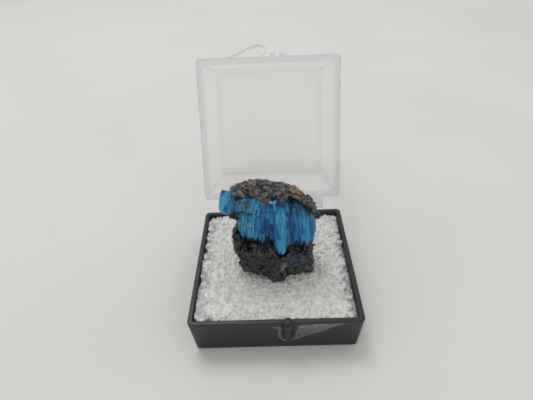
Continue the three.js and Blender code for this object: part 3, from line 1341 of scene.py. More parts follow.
@dataclass
class FoamPad:
    """The foam pad: a slab whose cut top is all broken cells, with torn films and ragged sides."""

    tray: Tray
    top: float = 8.15
    foot: float = 1.25
    play: float = 0.12
    corner: float = 1.0
    steps: int = 240
    cell: float = 1.3
    cup: float = 0.36
    level: float = 0.24
    tilt: float = 0.36
    bubble: float = 0.86
    bubble_height: float = 0.38
    ragged_reach: float = 0.7
    ragged_depth: float = 1.0
    flake: float = 0.56
    flake_spacing: float = 0.72
    fringe: float = 1.8
    flakes_inside: float = 0.45
    edge_shade_reach: float = 3.2
    edge_shade_patch: float = 0.9
    edge_shade_plain: float = 0.3
    edge_shade_ragged: float = 1.6
    edge_shade_at_side: float = 0.9
    edge_shade_most: float = 0.55
    crease_deg: float = 50
    seed: int = 7

    def half(self, z: float) -> float:
        """Half the pad's width at a height."""
        return self.tray.outer_half(z) - self.tray.wall - self.play

    def slab(self) -> Piece:
        """A closed slab with a fine grid on top, marked so that only the top is cut into cells.

        Returns:
            The slab.
        """
        half = self.half(self.top)
        line = np.linspace(-1, 1, self.steps + 1)
        across, along = np.meshgrid(line, line, indexing="ij")
        flat = np.stack([across.ravel(), along.ravel()], axis=1) * half
        inner = half - self.corner
        past = np.maximum(np.abs(flat) - inner, 0)
        reach = np.linalg.norm(past, axis=1)
        squeeze = np.where(reach > 0, past.max(axis=1) / np.maximum(reach, 1e-9), 1.0)[:, None]
        flat = np.sign(flat) * (np.minimum(np.abs(flat), inner) + past * squeeze)
        count = self.steps + 1
        grid = np.column_stack([flat, np.full(len(flat), self.top)])
        faces: list[tuple[int, ...]] = list(strip_faces(count, count, closed=False))
        places = np.arange(len(grid)).reshape(count, count)
        sides = (places[:-1, 0], places[-1, :-1], places[:0:-1, -1], places[0, :0:-1])
        edge = np.concatenate(sides).tolist()
        shrink = self.half(self.foot) / half
        low = grid[edge] * [shrink, shrink, 0] + [0, 0, self.foot]
        start = len(grid)
        for i in range(len(edge)):
            after = (i + 1) % len(edge)
            faces.append((edge[i], edge[after], start + after, start + i))
        faces.append(tuple(range(start, start + len(edge))))
        piece = new_piece("foam_cells", np.vstack([grid, low]), faces)
        points = points_of(piece)
        room = half - np.abs(points[:, :2]).max(axis=1)
        on_top = points[:, 2] > self.top - NEAR
        keep_floats(piece, "top", on_top)
        flaky = np.where(room < self.fringe, 1.0, self.flakes_inside) * (room > self.flake)
        keep_floats(piece, "flaky", on_top * flaky)
        # Painted shade in ragged patches near the left, right and back walls, where the black tray shows
        # through the foam.
        side = half - np.maximum(np.abs(points[:, 0]), points[:, 1])
        ragged = self.edge_shade_ragged * rough_noise(points, self.edge_shade_patch, self.seed)
        near_side = np.clip(self.edge_shade_at_side - side / self.edge_shade_reach, 0, self.edge_shade_most)
        keep_floats(piece, "thin", np.clip(self.edge_shade_plain + ragged, 0, 1) * near_side)
        return piece

    def cell_height(self, recipe: Recipe) -> tuple[Node, Node, Node]:
        """How high the cut top is, from its cells.

        Args:
            recipe: the tree that gets the nodes.

        Returns:
            The nodes with the height, with how near a cell's wall is, and with each small bubble's chance.
        """
        size, put = recipe.size, recipe.add
        place = put(Kind.PLACE)
        warp = put(Kind.NOISE, place, Scale=0.8, Detail=3.0)
        bent = put(Kind.TIMES_PLUS_XYZ, warp.outputs["Color"], (0.9, 0.9, 0.0), place)
        per_cell = put(Kind.OVER, 1.0, size("Cell"))
        cell = put(Kind.FLAT_CELLS, bent, Scale=per_cell)
        chance = put(Kind.SPLIT, cell.outputs["Color"])
        edge = put(Kind.FLAT_WALLS, bent, Scale=per_cell)
        wall = put(Kind.RANGE, edge, From_Min=0.03, From_Max=0.24, To_Min=1.0, To_Max=0.0,
                   interpolation_type="SMOOTHSTEP")
        ragged = put(Kind.NOISE, place, Scale=1.4, Detail=3.0)
        lift = put(Kind.RANGE, ragged, From_Min=0.44, From_Max=0.66, To_Min=0.0, To_Max=1.4)
        cup = put(Kind.TIMES, put(Kind.TIMES, wall, lift), size("Cup"))
        level = put(Kind.TIMES_PLUS, put(Kind.MINUS, chance.outputs[0], 0.5), size("Level"), cup)
        away = put(Kind.MINUS_XYZ, bent, cell.outputs["Position"])
        lean = put(Kind.TIMES_PLUS_XYZ, cell.outputs["Color"], (1.0, 1.0, 0.0), (-0.5, -0.5, 0.0))
        slope = put(Kind.DOT_XYZ, away, lean).outputs["Value"]
        tilted = put(Kind.TIMES_PLUS, slope, size("Tilt"), level)
        per_bubble = put(Kind.OVER, 1.0, size("Bubble"))
        bubble = put(Kind.FLAT_CELLS, bent, Scale=per_bubble)
        round_top = put(Kind.MINUS, 0.4, bubble)
        bubbly = put(Kind.TIMES_PLUS, round_top, size("Bubble height"), tilted)
        middle = put(Kind.SPLIT, put(Kind.AMOUNT_XYZ, cell.outputs["Position"]))
        far = put(Kind.MOST, middle.outputs[0], middle.outputs[1])
        room = put(Kind.MINUS, size("Half width"), far)
        torn = put(Kind.IS_BELOW, room, put(Kind.TIMES, chance.outputs[1], size("Ragged reach")))
        fall = put(Kind.TIMES, torn, size("Ragged depth"))
        glint = put(Kind.SPLIT, bubble.outputs["Color"])
        return put(Kind.MINUS, bubbly, fall), wall, glint

    def flakes(self, recipe: Recipe, ground: Node) -> Node:
        """Torn films that stand up from the cut top, thickest along its sides.

        Args:
            recipe: the tree that gets the nodes.
            ground: the node with the cut slab.

        Returns:
            The node with the films as instances.
        """
        size, put = recipe.size, recipe.add
        share = put(Kind.READ, "flaky")
        spots = put(Kind.SCATTER, ground, Density_Max=8.0, Distance_Min=size("Flake spacing"),
                    Density_Factor=share, Seed=size("Seed"))
        film = put(Kind.SPIKE, Vertices=3, Side_Segments=1, Radius_Top=0.12, Radius_Bottom=0.5, Depth=1.0)
        turn = put(Kind.RANDOM_XYZ, Min=(-1.1, -1.1, 0.0), Max=(1.1, 1.1, math.tau), Seed=size("Seed"))
        spread = put(Kind.RANDOM_XYZ, Min=(0.5, 0.12, 0.5), Max=(1.2, 0.4, 1.3),
                     Seed=put(Kind.PLUS, size("Seed"), 1.0))
        scale = put(Kind.SCALE_XYZ, spread, Scale=size("Flake"))
        chance = put(Kind.RANDOM, Seed=put(Kind.PLUS, size("Seed"), 2.0))
        marked = put(Kind.STORE, spots, Name="cell", Value=chance)
        marked = put(Kind.STORE, marked, Name="wall", Value=chance)
        return put(Kind.COPIES, marked, Instance=film, Rotation=turn, Scale=scale)

    def cut_cells(self, piece: Piece, material: Material) -> None:
        """Break the slab's top into cells and stand torn films on it.

        Args:
            piece: the slab.
            material: the foam's finish.
        """
        sizes = named_sizes(self, "cell", "cup", "level", "tilt", "bubble", "bubble_height", "ragged_reach",
                            "ragged_depth", "flake", "flake_spacing", "seed")
        recipe = Recipe("foam_cells", {**sizes, "Half width": self.half(self.top)})
        put = recipe.add
        height, wall, glint = self.cell_height(recipe)
        top = put(Kind.READ, "top")
        rise = put(Kind.PACK, Z=put(Kind.TIMES, height, top))
        cloud = put(Kind.NOISE, Scale=1.2, Detail=3.0)
        blotch = put(Kind.RANGE, cloud, From_Min=0.42, From_Max=0.62)
        patchy = put(Kind.TIMES, wall, glint.outputs[0])
        marked = put(Kind.STORE, recipe.size("Geometry"), Name="wall", Value=put(Kind.MOST, patchy, blotch))
        marked = put(Kind.STORE, marked, Name="cell", Value=glint.outputs[2])
        ground = put(Kind.MOVE, marked, Offset=rise)
        both = put(Kind.JOIN, [ground, self.flakes(recipe, ground)])
        recipe.finish(piece, both, material)

    def build(self) -> None:
        """Build the pad and dress it."""
        material = PadFoam().material()
        piece = self.slab()
        self.cut_cells(piece, material)
        shade(piece, self.crease_deg)
        hand_over(piece, material, Body.BOX, Slot.FOAM, "foam_pad")


# Stone

@dataclass(frozen=True)
class Push:
    """A sculpting move: points near a place are pushed, less and less towards the end of its reach."""

    at: Point
    reach: Point
    by: Point


@dataclass(frozen=True)
class Knob:
    """A lump that is set into a layer: a ball at squareness 2, and a block at higher ones."""

    at: Point
    size: Point
    turn_deg: Point = (0.0, 0.0, 0.0)
    squareness: float = 3.0

    def add_to(self, work: bmesh.types.BMesh) -> None:
        """Add the lump to a mesh that is being built.

        Args:
            work: the mesh.
        """
        ball = bmesh.ops.create_icosphere(work, subdivisions=3, radius=1.0)["verts"]
        spin = Euler([math.radians(turn) for turn in self.turn_deg]).to_matrix()
        for vertex in ball:
            blunt = sum(abs(value) ** self.squareness for value in vertex.co) ** (1 / self.squareness)
            half = Vector([value * wide / 2 for value, wide in zip(vertex.co, self.size)])
            vertex.co = Vector(self.at) + spin @ (half / blunt)


@dataclass(frozen=True)
class Mark:
    """A stained spot on the stone."""

    stain: Stain
    at: Point
    reach: Point
    strength: float = 1.0


@dataclass(frozen=True)
class Slice:
    """One upright cut through the crust: its front lip, its crest and its back edge, each as y and z."""

    x: float
    lip: Flat
    crest: Flat
    back: Flat
    lean: float = 0.15
    swell: float = 0.35
    inset: float = 0.8

    def ring(self, lip_height: float, root: float) -> list[Point]:
        """The cut's outline.

        Args:
            lip_height: how high the lip's front face is.
            root: how deep the crust's underside is sunk into the vein.

        Returns:
            The outline's points.
        """
        (front, low), (ridge, high), (rear, tail) = self.lip, self.crest, self.back
        face = low + lip_height
        upper = [
            (front, low), (front + self.lean, face), ((front + ridge) / 2, (face + high) / 2 + self.lean),
            (ridge, high), ((ridge + rear) / 2, (high + tail) / 2 + self.swell), (rear, tail)]
        under = [
            (rear - self.inset, tail - root), ((front + rear) / 2, (low + tail) / 2 - root),
            (front + self.inset, low - root)]
        return [(self.x, y, z) for y, z in upper + under]


@dataclass(frozen=True)
class CrustForm:
    """The crust's form, from its left end to its right one, after the photograph's lip and skyline."""

    lip_height: float = 0.5
    root: float = 0.7
    slices: tuple[Slice, ...] = (
        Slice(-7.9, (-1.2, 26.6), (0.2, 27.0), (1.8, 26.2)),
        Slice(-6.8, (-2.5, 27.2), (0.8, 27.4), (3.8, 25.4)),
        Slice(-5.2, (-2.8, 27.7), (1.2, 27.9), (4.6, 25.6)),
        Slice(-3.6, (-2.8, 28.0), (1.4, 28.1), (4.8, 25.6)),
        Slice(-2.0, (-2.8, 27.6), (1.5, 28.1), (4.9, 25.4)),
        Slice(-0.5, (-2.8, 27.3), (1.5, 27.9), (4.9, 25.2)),
        Slice(1.2, (-2.7, 27.5), (1.4, 27.3), (4.9, 24.8)),
        Slice(3.0, (-2.7, 27.3), (1.2, 26.7), (4.7, 24.2)),
        Slice(4.6, (-2.8, 26.7), (0.6, 26.0), (4.4, 23.4)),
        Slice(6.0, (-2.9, 25.3), (0.2, 24.8), (4.0, 22.4)),
        Slice(7.2, (-3.0, 23.6), (0.0, 23.8), (3.6, 21.6)),
        Slice(7.9, (-2.6, 22.0), (0.0, 22.6), (3.0, 20.6)),
        Slice(8.1, (-1.6, 20.9), (0.0, 21.5), (1.8, 20.2)),
    )

    def blank(self, name: str) -> Piece:
        """The crust as a closed solid, before it is broken up."""
        return skin(name, [cut.ring(self.lip_height, self.root) for cut in self.slices])

    def height_at(self, x: Rows, y: Rows) -> Rows:
        """About how high the crust's top is over each place.

        Args:
            x: places across the stone.
            y: places from front to back.

        Returns:
            The heights.
        """
        at = [cut.x for cut in self.slices]
        ridge, high, rear, tail = (
            np.interp(x, at, [getattr(cut, edge)[axis] for cut in self.slices])
            for edge, axis in (("crest", 0), ("crest", 1), ("back", 0), ("back", 1)))
        share = np.clip((y - ridge) / (rear - ridge), 0, 1.5)
        return high + share * (tail - high)


@dataclass
class StoneLayer:
    """One mineral layer of the stone, carved finer from its CAD solid."""

    frame: dict[str, Any]
    node: str = ""
    name: str = ""
    slot: Slot = Slot.WALL_ROCK
    blank_voxel: float = 0.3
    blank_softening: int = 4
    voxel: float = 0.17
    softening: int = 1
    grow: float = 0.0
    knobs: tuple[Knob, ...] = ()
    pushes: tuple[Push, ...] = ()
    marks: tuple[Mark, ...] = ()
    contact: tuple[Flat, ...] = ()
    stains: tuple[Stain, ...] = (Stain.SOIL, Stain.RUST, Stain.VERDIGRIS, Stain.PALE, Stain.BLUE)
    lump: float = 1.7
    lump_spacing: float = 1.5
    grain: float = 0.62
    grain_spacing: float = 0.7
    sink: float = 0.2
    weathering: float = 0.06
    weather_grain: float = 0.6
    stain_grain: float = 0.9
    stain_ragged: float = 0.45
    stain_edge: float = 0.3
    stain_end: float = 0.03
    crease_deg: float = 30.0
    face_size: float = 0.85
    face_depth: float = 0.26
    hollow_rings: int = 8
    hollow_depth: float = 0.16
    seed: int = 1

    def draw(self, kind: Draw) -> int:
        """The seed of one kind of random draw."""
        return self.seed + kind.value

    def blank(self) -> Piece:
        """A merged copy of the layer's CAD solid.

        Returns:
            The copy.
        """
        mesh = self.frame["nodes"][self.node].data.copy()
        mesh.transform(Matrix.Scale(1 / MM, 4))
        piece = bpy.data.objects.new(self.name, mesh)
        bpy.context.scene.collection.objects.link(piece)
        face_out(piece, merge_mm=0.001)
        return piece

    def rough_out(self) -> Piece:
        """Fuse the blank with the listed knobs and round it off.

        Returns:
            The rounded blank.
        """
        piece = self.blank()
        work = bmesh.new()
        work.from_mesh(piece.data)
        for knob in self.knobs:
            knob.add_to(work)
        work.to_mesh(piece.data)
        work.free()
        fuse(piece, self.blank_voxel, self.blank_softening)
        return piece

    def contact_at(self, x: Rows) -> Rows:
        """How high the contact of vein and lower rock is, across the front."""
        return np.interp(x, *np.array(self.contact).T)

    def shaped(self, points: Rows) -> Rows:
        """Where the layer's own outline puts each point."""
        return points

    def sculpt(self, piece: Piece) -> None:
        """Push the blank to its outline.

        Args:
            piece: the blank.
        """
        points = points_of(piece) + self.grow * normals_of(piece)
        for push in self.pushes:
            points += nearness(points, push.at, push.reach)[:, None] * np.array(push.by)
        place_points(piece, self.shaped(points))

    def grainy(self, points: Rows) -> Rows:
        """The share of rock lumps that each point carries."""
        return np.ones(len(points))

    def set_lumps(self, recipe: Recipe, label: str, seed_step: float) -> Node:
        """Set angular lumps into the layer's surface.

        Args:
            recipe: the tree that gets the nodes, with the layer as its input.
            label: the name of the lumps' size in the tree.
            seed_step: sets these lumps apart from others.

        Returns:
            The node with the lumps as instances.
        """
        size, put = recipe.size, recipe.add
        seed = put(Kind.PLUS, size("Seed"), seed_step)
        share = put(Kind.READ, "grainy")
        spots = put(Kind.SCATTER, size("Geometry"), Density_Max=6.0, Density_Factor=share, Seed=seed,
                    Distance_Min=size(label + " spacing"))
        sink = put(Kind.TIMES, size("Sink"), size(label))
        inward = put(Kind.TIMES, sink, -1.0)
        shift = put(Kind.SCALE_XYZ, spots.outputs["Normal"], Scale=inward)
        sunk = put(Kind.MOVE, spots, Offset=shift)
        block = put(Kind.BLOCK, Size=(0.8, 0.8, 0.8))
        turn = put(Kind.RANDOM_XYZ, Max=(math.tau, math.tau, math.tau), Seed=seed)
        spread = put(Kind.RANDOM_XYZ, Min=(0.5, 0.5, 0.3), Max=(1.7, 1.3, 0.9), Seed=seed)
        scale = put(Kind.SCALE_XYZ, spread, Scale=size(label))
        return put(Kind.COPIES, sunk, Instance=block, Rotation=turn, Scale=scale)

    def lump_sizes(self) -> dict[str, float | int]:
        """The named sizes of the lumps' part of a tree."""
        return named_sizes(self, "lump", "lump_spacing", "grain", "grain_spacing", "sink", "seed")

    def break_up(self, piece: Piece, material: Material) -> None:
        """Break the surface up into lumps and grains, all grown together.

        Args:
            piece: the layer.
            material: its finish.
        """
        keep_floats(piece, "grainy", self.grainy(points_of(piece)))
        recipe = Recipe(self.name + "_lumps", self.lump_sizes())
        lumps = self.set_lumps(recipe, "Lump", 0.0)
        grains = self.set_lumps(recipe, "Grain", 1.0)
        recipe.finish(piece, recipe.add(Kind.JOIN, [recipe.size("Geometry"), lumps, grains]), material)
        fuse(piece, self.voxel, self.softening)

    def weather(self, piece: Piece) -> None:
        """Break the surface into small flat faces and roughen it finely.

        Args:
            piece: the layer.
        """
        points = points_of(piece)
        rough = self.weathering * rough_noise(points, self.weather_grain, self.draw(Draw.WEATHER))
        rough += self.face_depth * broken_faces(points, self.face_size, self.draw(Draw.FACES))
        place_points(piece, points + normals_of(piece) * rough[:, None])

    def stain_at(self, stain: Stain, points: Rows) -> Rows:
        """How strong a stain is at each point, with ragged edges.

        Args:
            stain: the stain.
            points: the layer's points.

        Returns:
            A share from 0 to 1 for each point.
        """
        ragged = self.stain_ragged * rough_noise(points, self.stain_grain, self.draw(Draw.STAIN))
        total = np.zeros(len(points))
        for mark in (one for one in self.marks if one.stain is stain):
            near = nearness(points, mark.at, mark.reach)
            inside = near + ragged * (near > self.stain_end)
            edge = np.clip((inside - self.stain_edge) / self.stain_edge, 0, 1)
            total = np.maximum(total, mark.strength * edge)
        return total

    def finish(self) -> Material:
        """The layer's finish."""
        raise NotImplementedError

    def build(self) -> None:
        """Build the layer and dress it."""
        material = self.finish()
        piece = self.rough_out()
        self.sculpt(piece)
        self.break_up(piece, material)
        self.weather(piece)
        # How deep each point lies, which sets the shade and highlight that the finish paints.
        keep_floats(piece, "hollow", hollows_of(piece, self.hollow_rings, self.hollow_depth))
        for stain in self.stains:
            keep_floats(piece, stain.value, self.stain_at(stain, points_of(piece)))
        shade(piece, self.crease_deg)
        hand_over(piece, material, Body.BOX, self.slot, self.node)


@dataclass
class LowerRock(StoneLayer):
    """The black wall rock that the stone stands on."""

    node: str = "lower_rock"
    name: str = "black_wall_rock"
    knobs: tuple[Knob, ...] = (
        Knob((0.8, -5.3, 9.8), (3.4, 2.6, 3.6), (0, 10, 10)),
        Knob((6.4, -3.0, 10.4), (3.0, 3.4, 3.6), (10, 0, 30)),
        Knob((-5.0, -3.6, 11.6), (3.4, 3.0, 4.0), (0, 20, -20)),
        Knob((-6.8, -2.5, 15.4), (1.8, 2.6, 4.0), (0, -6, 0)),
        Knob((-7.0, -2.8, 17.5), (0.9, 1.4, 2.6), (0, -6, 0), 2.5),
        Knob((-3.4, -4.5, 15.7), (5.4, 1.5, 2.2), (8, 2, 0)),
        Knob((-0.3, -4.9, 15.3), (1.3, 1.3, 2.8), (6, 0, 0)),
        Knob((3.8, -4.9, 13.9), (1.9, 1.3, 2.6), (6, 0, 0)),
        Knob((6.2, -4.4, 13.4), (3.2, 1.7, 2.6), (8, -4, 0)),
    )
    contact: tuple[Flat, ...] = (
        (-6.3, 16.0), (-5.0, 16.1), (-4.0, 16.8), (-1.0, 16.9), (0.0, 16.4), (0.5, 13.6), (2.7, 13.6),
        (3.1, 15.6), (4.0, 15.8), (5.8, 14.9), (7.5, 13.6), (8.6, 13.2))
    bared_y: float = -3.0
    roof_ease: float = 0.2
    bare_band: float = 0.3
    spike: float = 0.5
    spike_spacing: float = 0.42
    spike_band: float = 0.9
    spike_end: Flat = (7.2, 2.0)
    pushes: tuple[Push, ...] = (
        Push((0.7, -0.4, 8.4), (12.0, 8.0, 1.3), (0.0, 0.0, -0.3)),
        Push((-4.4, -4.4, 17.8), (4.5, 2.2, 2.2), (0.0, 0.6, -1.3)),
        Push((5.5, -4.6, 16.4), (3.5, 2.0, 2.0), (0.0, 0.6, -1.2)),
        Push((-5.3, -4.0, 18.4), (1.7, 3.0, 2.2), (0.0, 0.9, -1.8)),
        Push((8.6, -5.2, 15.0), (2.2, 2.6, 3.0), (-1.2, 0.6, 0.0)),
    )
    marks: tuple[Mark, ...] = (
        # A white-cyan spot low on the front: partly a pale stain, partly a painted glint.
        Mark(Stain.PALE, (1.9, -6.2, 11.8), (0.7, 1.6, 0.9), 0.7),
        Mark(Stain.PALE, (-7.4, -3.2, 18.6), (0.7, 1.5, 0.7), 0.45),
        Mark(Stain.BLUE, (-7.4, -3.2, 18.6), (0.8, 1.5, 0.8), 0.5),
        Mark(Stain.PALE, (5.5, -4.0, 11.5), (3.5, 4.0, 4.0), 0.07),
        Mark(Stain.RUST, (6.6, -4.6, 16.2), (0.4, 1.2, 0.4), 0.6),
        Mark(Stain.BLUE, (5.2, -4.4, 14.8), (3.4, 2.6, 1.8), 0.4),
    )
    grow: float = 0.15
    sink: float = 0.36
    grain: float = 0.5
    grain_spacing: float = 0.6
    face_size: float = 0.9
    face_depth: float = 0.36
    seed: int = 11

    def finish(self) -> Material:
        """Black sulphide rock: near black, with bluish glints where grains break clean."""
        return BrokenRock("sulphide_rock_broken", dark="#0d0d10", light="#55565d", shine=0.16).material()

    def roof_at(self, points: Rows) -> Rows:
        """How high the rock reaches over each place: to the contact in front, and more behind it."""
        return self.contact_at(points[:, 0]) + np.maximum(points[:, 1] - self.bared_y, 0)

    def shaped(self, points: Rows) -> Rows:
        """Keep the rock's front under the contact, so that the vein's feet show above it.

        Args:
            points: the blank's points.

        Returns:
            The moved points.
        """
        x, y, z = points.T
        capped = kept_below(z, self.roof_at(points), self.roof_ease)
        return np.column_stack([x, y, np.where(x > self.contact[0][0], capped, z)])

    def grainy(self, points: Rows) -> Rows:
        """Fewer lumps sit near the contact, where the fibres' feet stand."""
        return np.clip(self.roof_at(points) - points[:, 2] - self.bare_band, 0.0, 1)

    def break_up(self, piece: Piece, material: Material) -> None:
        """Stand dark fibre feet along the contact, then break the whole surface up.

        Args:
            piece: the layer.
            material: its finish.
        """
        x, y, z = points_of(piece).T
        below = self.contact_at(x) - z
        in_band = np.abs(below - self.spike_band / 2) < self.spike_band
        keep_floats(piece, "spiky", in_band * (x < self.spike_end[0]) * (y < self.spike_end[1]))
        recipe = Recipe("fibre_feet", named_sizes(self, "spike", "spike_spacing", "seed"))
        size, put = recipe.size, recipe.add
        share = put(Kind.READ, "spiky")
        spots = put(Kind.SCATTER, size("Geometry"), Density_Max=6.0, Density_Factor=share,
                    Distance_Min=size("Spike spacing"), Seed=size("Seed"))
        foot = put(Kind.SPIKE, Vertices=5, Side_Segments=1, Radius_Top=0.1, Radius_Bottom=0.5, Depth=1.0)
        turn = put(Kind.RANDOM_XYZ, Min=(-0.1, -0.2, 0.0), Max=(0.15, 0.2, math.tau), Seed=size("Seed"))
        spread = put(Kind.RANDOM_XYZ, Min=(0.8, 0.8, 1.0), Max=(1.3, 1.3, 3.6), Seed=size("Seed"))
        scale = put(Kind.SCALE_XYZ, spread, Scale=size("Spike"))
        feet = put(Kind.COPIES, spots, Instance=foot, Rotation=turn, Scale=scale)
        recipe.finish(piece, put(Kind.JOIN, [size("Geometry"), feet]), material)
        super().break_up(piece, material)


@dataclass
class RustyCrust(StoneLayer):
    """The grey and rusty wall rock on top."""

    node: str = "upper_crust"
    name: str = "rusty_crust"
    slot: Slot = Slot.CRUST
    form: CrustForm = CrustForm()
    knobs: tuple[Knob, ...] = (
        Knob((4.3, -1.2, 26.9), (2.3, 2.3, 2.0), (0, 30, 20)),
        Knob((7.0, -1.6, 24.0), (1.8, 2.6, 1.6), (0, 35, 10)),
        Knob((-5.2, -2.2, 27.3), (2.0, 1.8, 1.2), (0, -10, 15)),
        Knob((-1.2, -3.3, 26.9), (1.8, 1.3, 1.7), (0, 15, 10)),
        Knob((-2.7, -3.0, 27.3), (1.6, 1.2, 1.1), (0, -20, 0)),
        Knob((2.2, -3.0, 26.9), (1.3, 1.1, 0.9), (0, 20, 0)),
    )
    marks: tuple[Mark, ...] = (
        Mark(Stain.RUST, (4.4, -1.3, 27.2), (1.5, 1.9, 1.5), 0.8),
        Mark(Stain.RUST, (5.5, -1.6, 25.9), (1.1, 1.4, 1.1), 0.5),
        Mark(Stain.RUST, (-3.9, 0.8, 28.4), (1.0, 0.8, 1.0), 0.9),
        Mark(Stain.SOIL, (7.5, -2.0, 23.2), (1.3, 2.6, 1.8), 0.55),
        Mark(Stain.VERDIGRIS, (3.1, -0.9, 27.6), (0.6, 0.8, 0.7), 0.9),
        Mark(Stain.PALE, (-4.9, -1.6, 27.4), (0.6, 0.7, 0.7), 0.5),
    )
    voxel: float = 0.14
    sink: float = 0.44
    grain: float = 0.4
    grain_spacing: float = 0.7
    face_size: float = 1.0
    face_depth: float = 0.42
    seed: int = 34

    def finish(self) -> Material:
        """Weathered wall rock: grey-brown knobs with rust and a speck of green."""
        rock = BrokenRock("limonite_rock_weathered", dark="#222124", light="#8e898b", soil="#1c1c1e")
        return rock.material()

    def blank(self) -> Piece:
        """The crust's own form, which is sunk into the vein where the CAD solids keep a gap."""
        return self.form.blank(self.name)


@dataclass
class FibreVein(StoneLayer):
    """The blue vein: upright blades grown together, with a proud tongue in front and a lobe at the left."""

    node: str = "chalcanthite_vein"
    name: str = "blue_fibre_vein"
    slot: Slot = Slot.CHALCANTHITE
    voxel: float = 0.13
    grow: float = -0.1
    weathering: float = 0.03
    crease_deg: float = 45.0
    face_depth: float = 0.0
    hollow_depth: float = 0.12
    stains: tuple[Stain, ...] = (Stain.SOIL, Stain.EARTHY, Stain.PALE, Stain.RUST)
    pushes: tuple[Push, ...] = (
        Push((-9.4, -1.5, 21.6), (2.0, 4.0, 1.8), (0.0, 0.0, 2.0)),
        Push((-4.6, -2.2, 17.4), (4.2, 4.0, 3.2), (0.0, 0.0, -2.4)),
        Push((6.6, -1.8, 16.4), (3.6, 4.5, 3.2), (0.0, 0.0, -3.0)),
    )
    knobs: tuple[Knob, ...] = (
        Knob((-8.5, -1.7, 25.7), (2.7, 3.6, 4.6), (0, 3, 0), 4.0),
        Knob((-7.3, -2.8, 23.2), (2.3, 2.2, 1.5)),
        Knob((-4.4, -2.8, 26.2), (4.6, 1.8, 2.6), (0, 0, 0), 4.0),
        Knob((0.8, -2.6, 26.2), (8.0, 1.9, 2.4), (0, 3, 0), 4.0),
        Knob((0.95, -4.4, 21.4), (0.9, 1.1, 11.6), (0, 1, 0), 4.0),
        Knob((1.5, -4.5, 21.0), (0.8, 1.2, 12.0), (0, 0, 0), 4.0),
        Knob((2.05, -4.5, 19.8), (0.8, 1.2, 8.8), (0, 0, 0), 4.0),
        Knob((2.6, -4.4, 19.3), (0.8, 1.0, 7.0), (0, 0, 0), 4.0),
        Knob((-0.1, -3.5, 26.8), (1.3, 0.9, 0.8), (0, 35, 0), 4.0),
    )
    marks: tuple[Mark, ...] = (
        Mark(Stain.SOIL, (-7.6, -2.8, 23.3), (1.6, 2.6, 1.25), 1.0),
        Mark(Stain.SOIL, (-6.6, -3.7, 24.5), (0.8, 1.4, 0.4), 0.9),
        Mark(Stain.SOIL, (-5.6, -4.0, 24.9), (0.8, 1.4, 0.32), 0.9),
        Mark(Stain.SOIL, (-4.4, -4.2, 24.5), (0.8, 1.2, 0.28), 0.9),
        Mark(Stain.SOIL, (-4.8, -3.6, 26.1), (0.5, 1.0, 0.6), 0.6),
        Mark(Stain.SOIL, (1.6, -3.6, 26.3), (0.6, 1.0, 0.7), 0.7),
        Mark(Stain.SOIL, (-9.1, -1.4, 28.0), (0.6, 1.2, 0.5), 0.9),
        Mark(Stain.EARTHY, (-4.7, -3.4, 25.9), (1.2, 1.4, 1.6), 0.55),
        Mark(Stain.EARTHY, (-6.0, -3.2, 26.6), (1.6, 1.6, 1.2), 0.5),
        Mark(Stain.EARTHY, (-5.6, -4.0, 21.0), (1.6, 1.6, 3.0), 0.3),
        Mark(Stain.PALE, (-0.1, -3.7, 26.9), (0.6, 0.9, 0.5), 0.7),
        Mark(Stain.RUST, (6.6, -4.6, 16.9), (0.4, 1.0, 0.5), 0.6),
    )
    tones: tuple[tuple[Point, Point, float], ...] = (
        ((1.7, -5.0, 19.5), (1.2, 2.0, 6.0), 0.24),
        ((-9.3, -1.5, 25.5), (1.3, 4.0, 3.0), 0.24),
        ((-5.4, -4.0, 21.5), (2.0, 2.5, 4.0), 0.28),
        ((-7.4, -3.4, 25.5), (0.7, 1.5, 3.0), -0.25),
        ((0.0, -4.6, 21.0), (0.7, 2.0, 4.0), -0.25),
        ((4.2, -4.6, 20.0), (1.4, 2.5, 6.0), -0.26),
        ((-1.4, -4.6, 21.5), (1.4, 2.5, 5.0), -0.2),
        ((5.6, -4.6, 22.5), (0.9, 2.5, 3.0), 0.1),
        ((8.3, -2.0, 21.0), (0.9, 3.0, 3.5), 0.18),
    )
    plain_tone: float = 0.48
    band: float = 0.16
    band_width: float = 1.7
    band_stretch: float = 0.08
    contact: tuple[Flat, ...] = (
        (-8.6, 16.5), (-6.2, 16.4), (-5.0, 16.9), (-3.4, 17.5), (-1.0, 17.4), (0.0, 16.7), (0.5, 15.0),
        (1.7, 14.1), (2.7, 15.0), (3.1, 16.2), (4.0, 16.5), (5.6, 15.8), (7.3, 14.6), (8.6, 13.9))
    dark_feet: float = 1.0
    feet_fade: float = 0.4
    dark_head: float = 0.7
    head_fade: float = 0.6
    head_most: float = 0.6
    head_start: float = 0.5
    dark_end_stretch: float = 0.1
    dark_end_width: float = 0.5
    dark_end_ragged: float = 2.2
    clinging: float = 0.35
    form: CrustForm = CrustForm()
    crust_cover: float = 0.5
    roof_grain: float = 1.2
    roof_ragged: float = 0.8
    roof_ease: float = 0.15
    shoulder_z: float = 22.5
    shoulder_slope: float = 0.36
    shoulder_lead: float = 0.5
    front: float = -5.1
    front_ease: float = 0.2
    lobe_x: float = -7.2
    lobe_top: float = 28.0
    lobe_fall: float = 1.1
    lobe_back_y: float = -1.0
    tongue_x: float = 1.7
    tongue_reach: float = 1.5
    foot_height: float = 1.6
    foot_taper: float = 0.08
    blade_width: float = 0.74
    blade_widths: Flat = (0.45, 1.7)
    blade_depth: float = 0.8
    blade_shortest: float = 2.0
    blade_longest: float = 9.0
    blade_spacing: float = 0.56
    blade_taper: float = 0.55
    blade_sink: float = 0.04
    blade_wobble: float = 0.05
    blade_tone: float = 0.25
    fan: float = 0.02
    seed: int = 51

    def finish(self) -> Material:
        """Glassy blue blades."""
        return Chalcanthite().material()

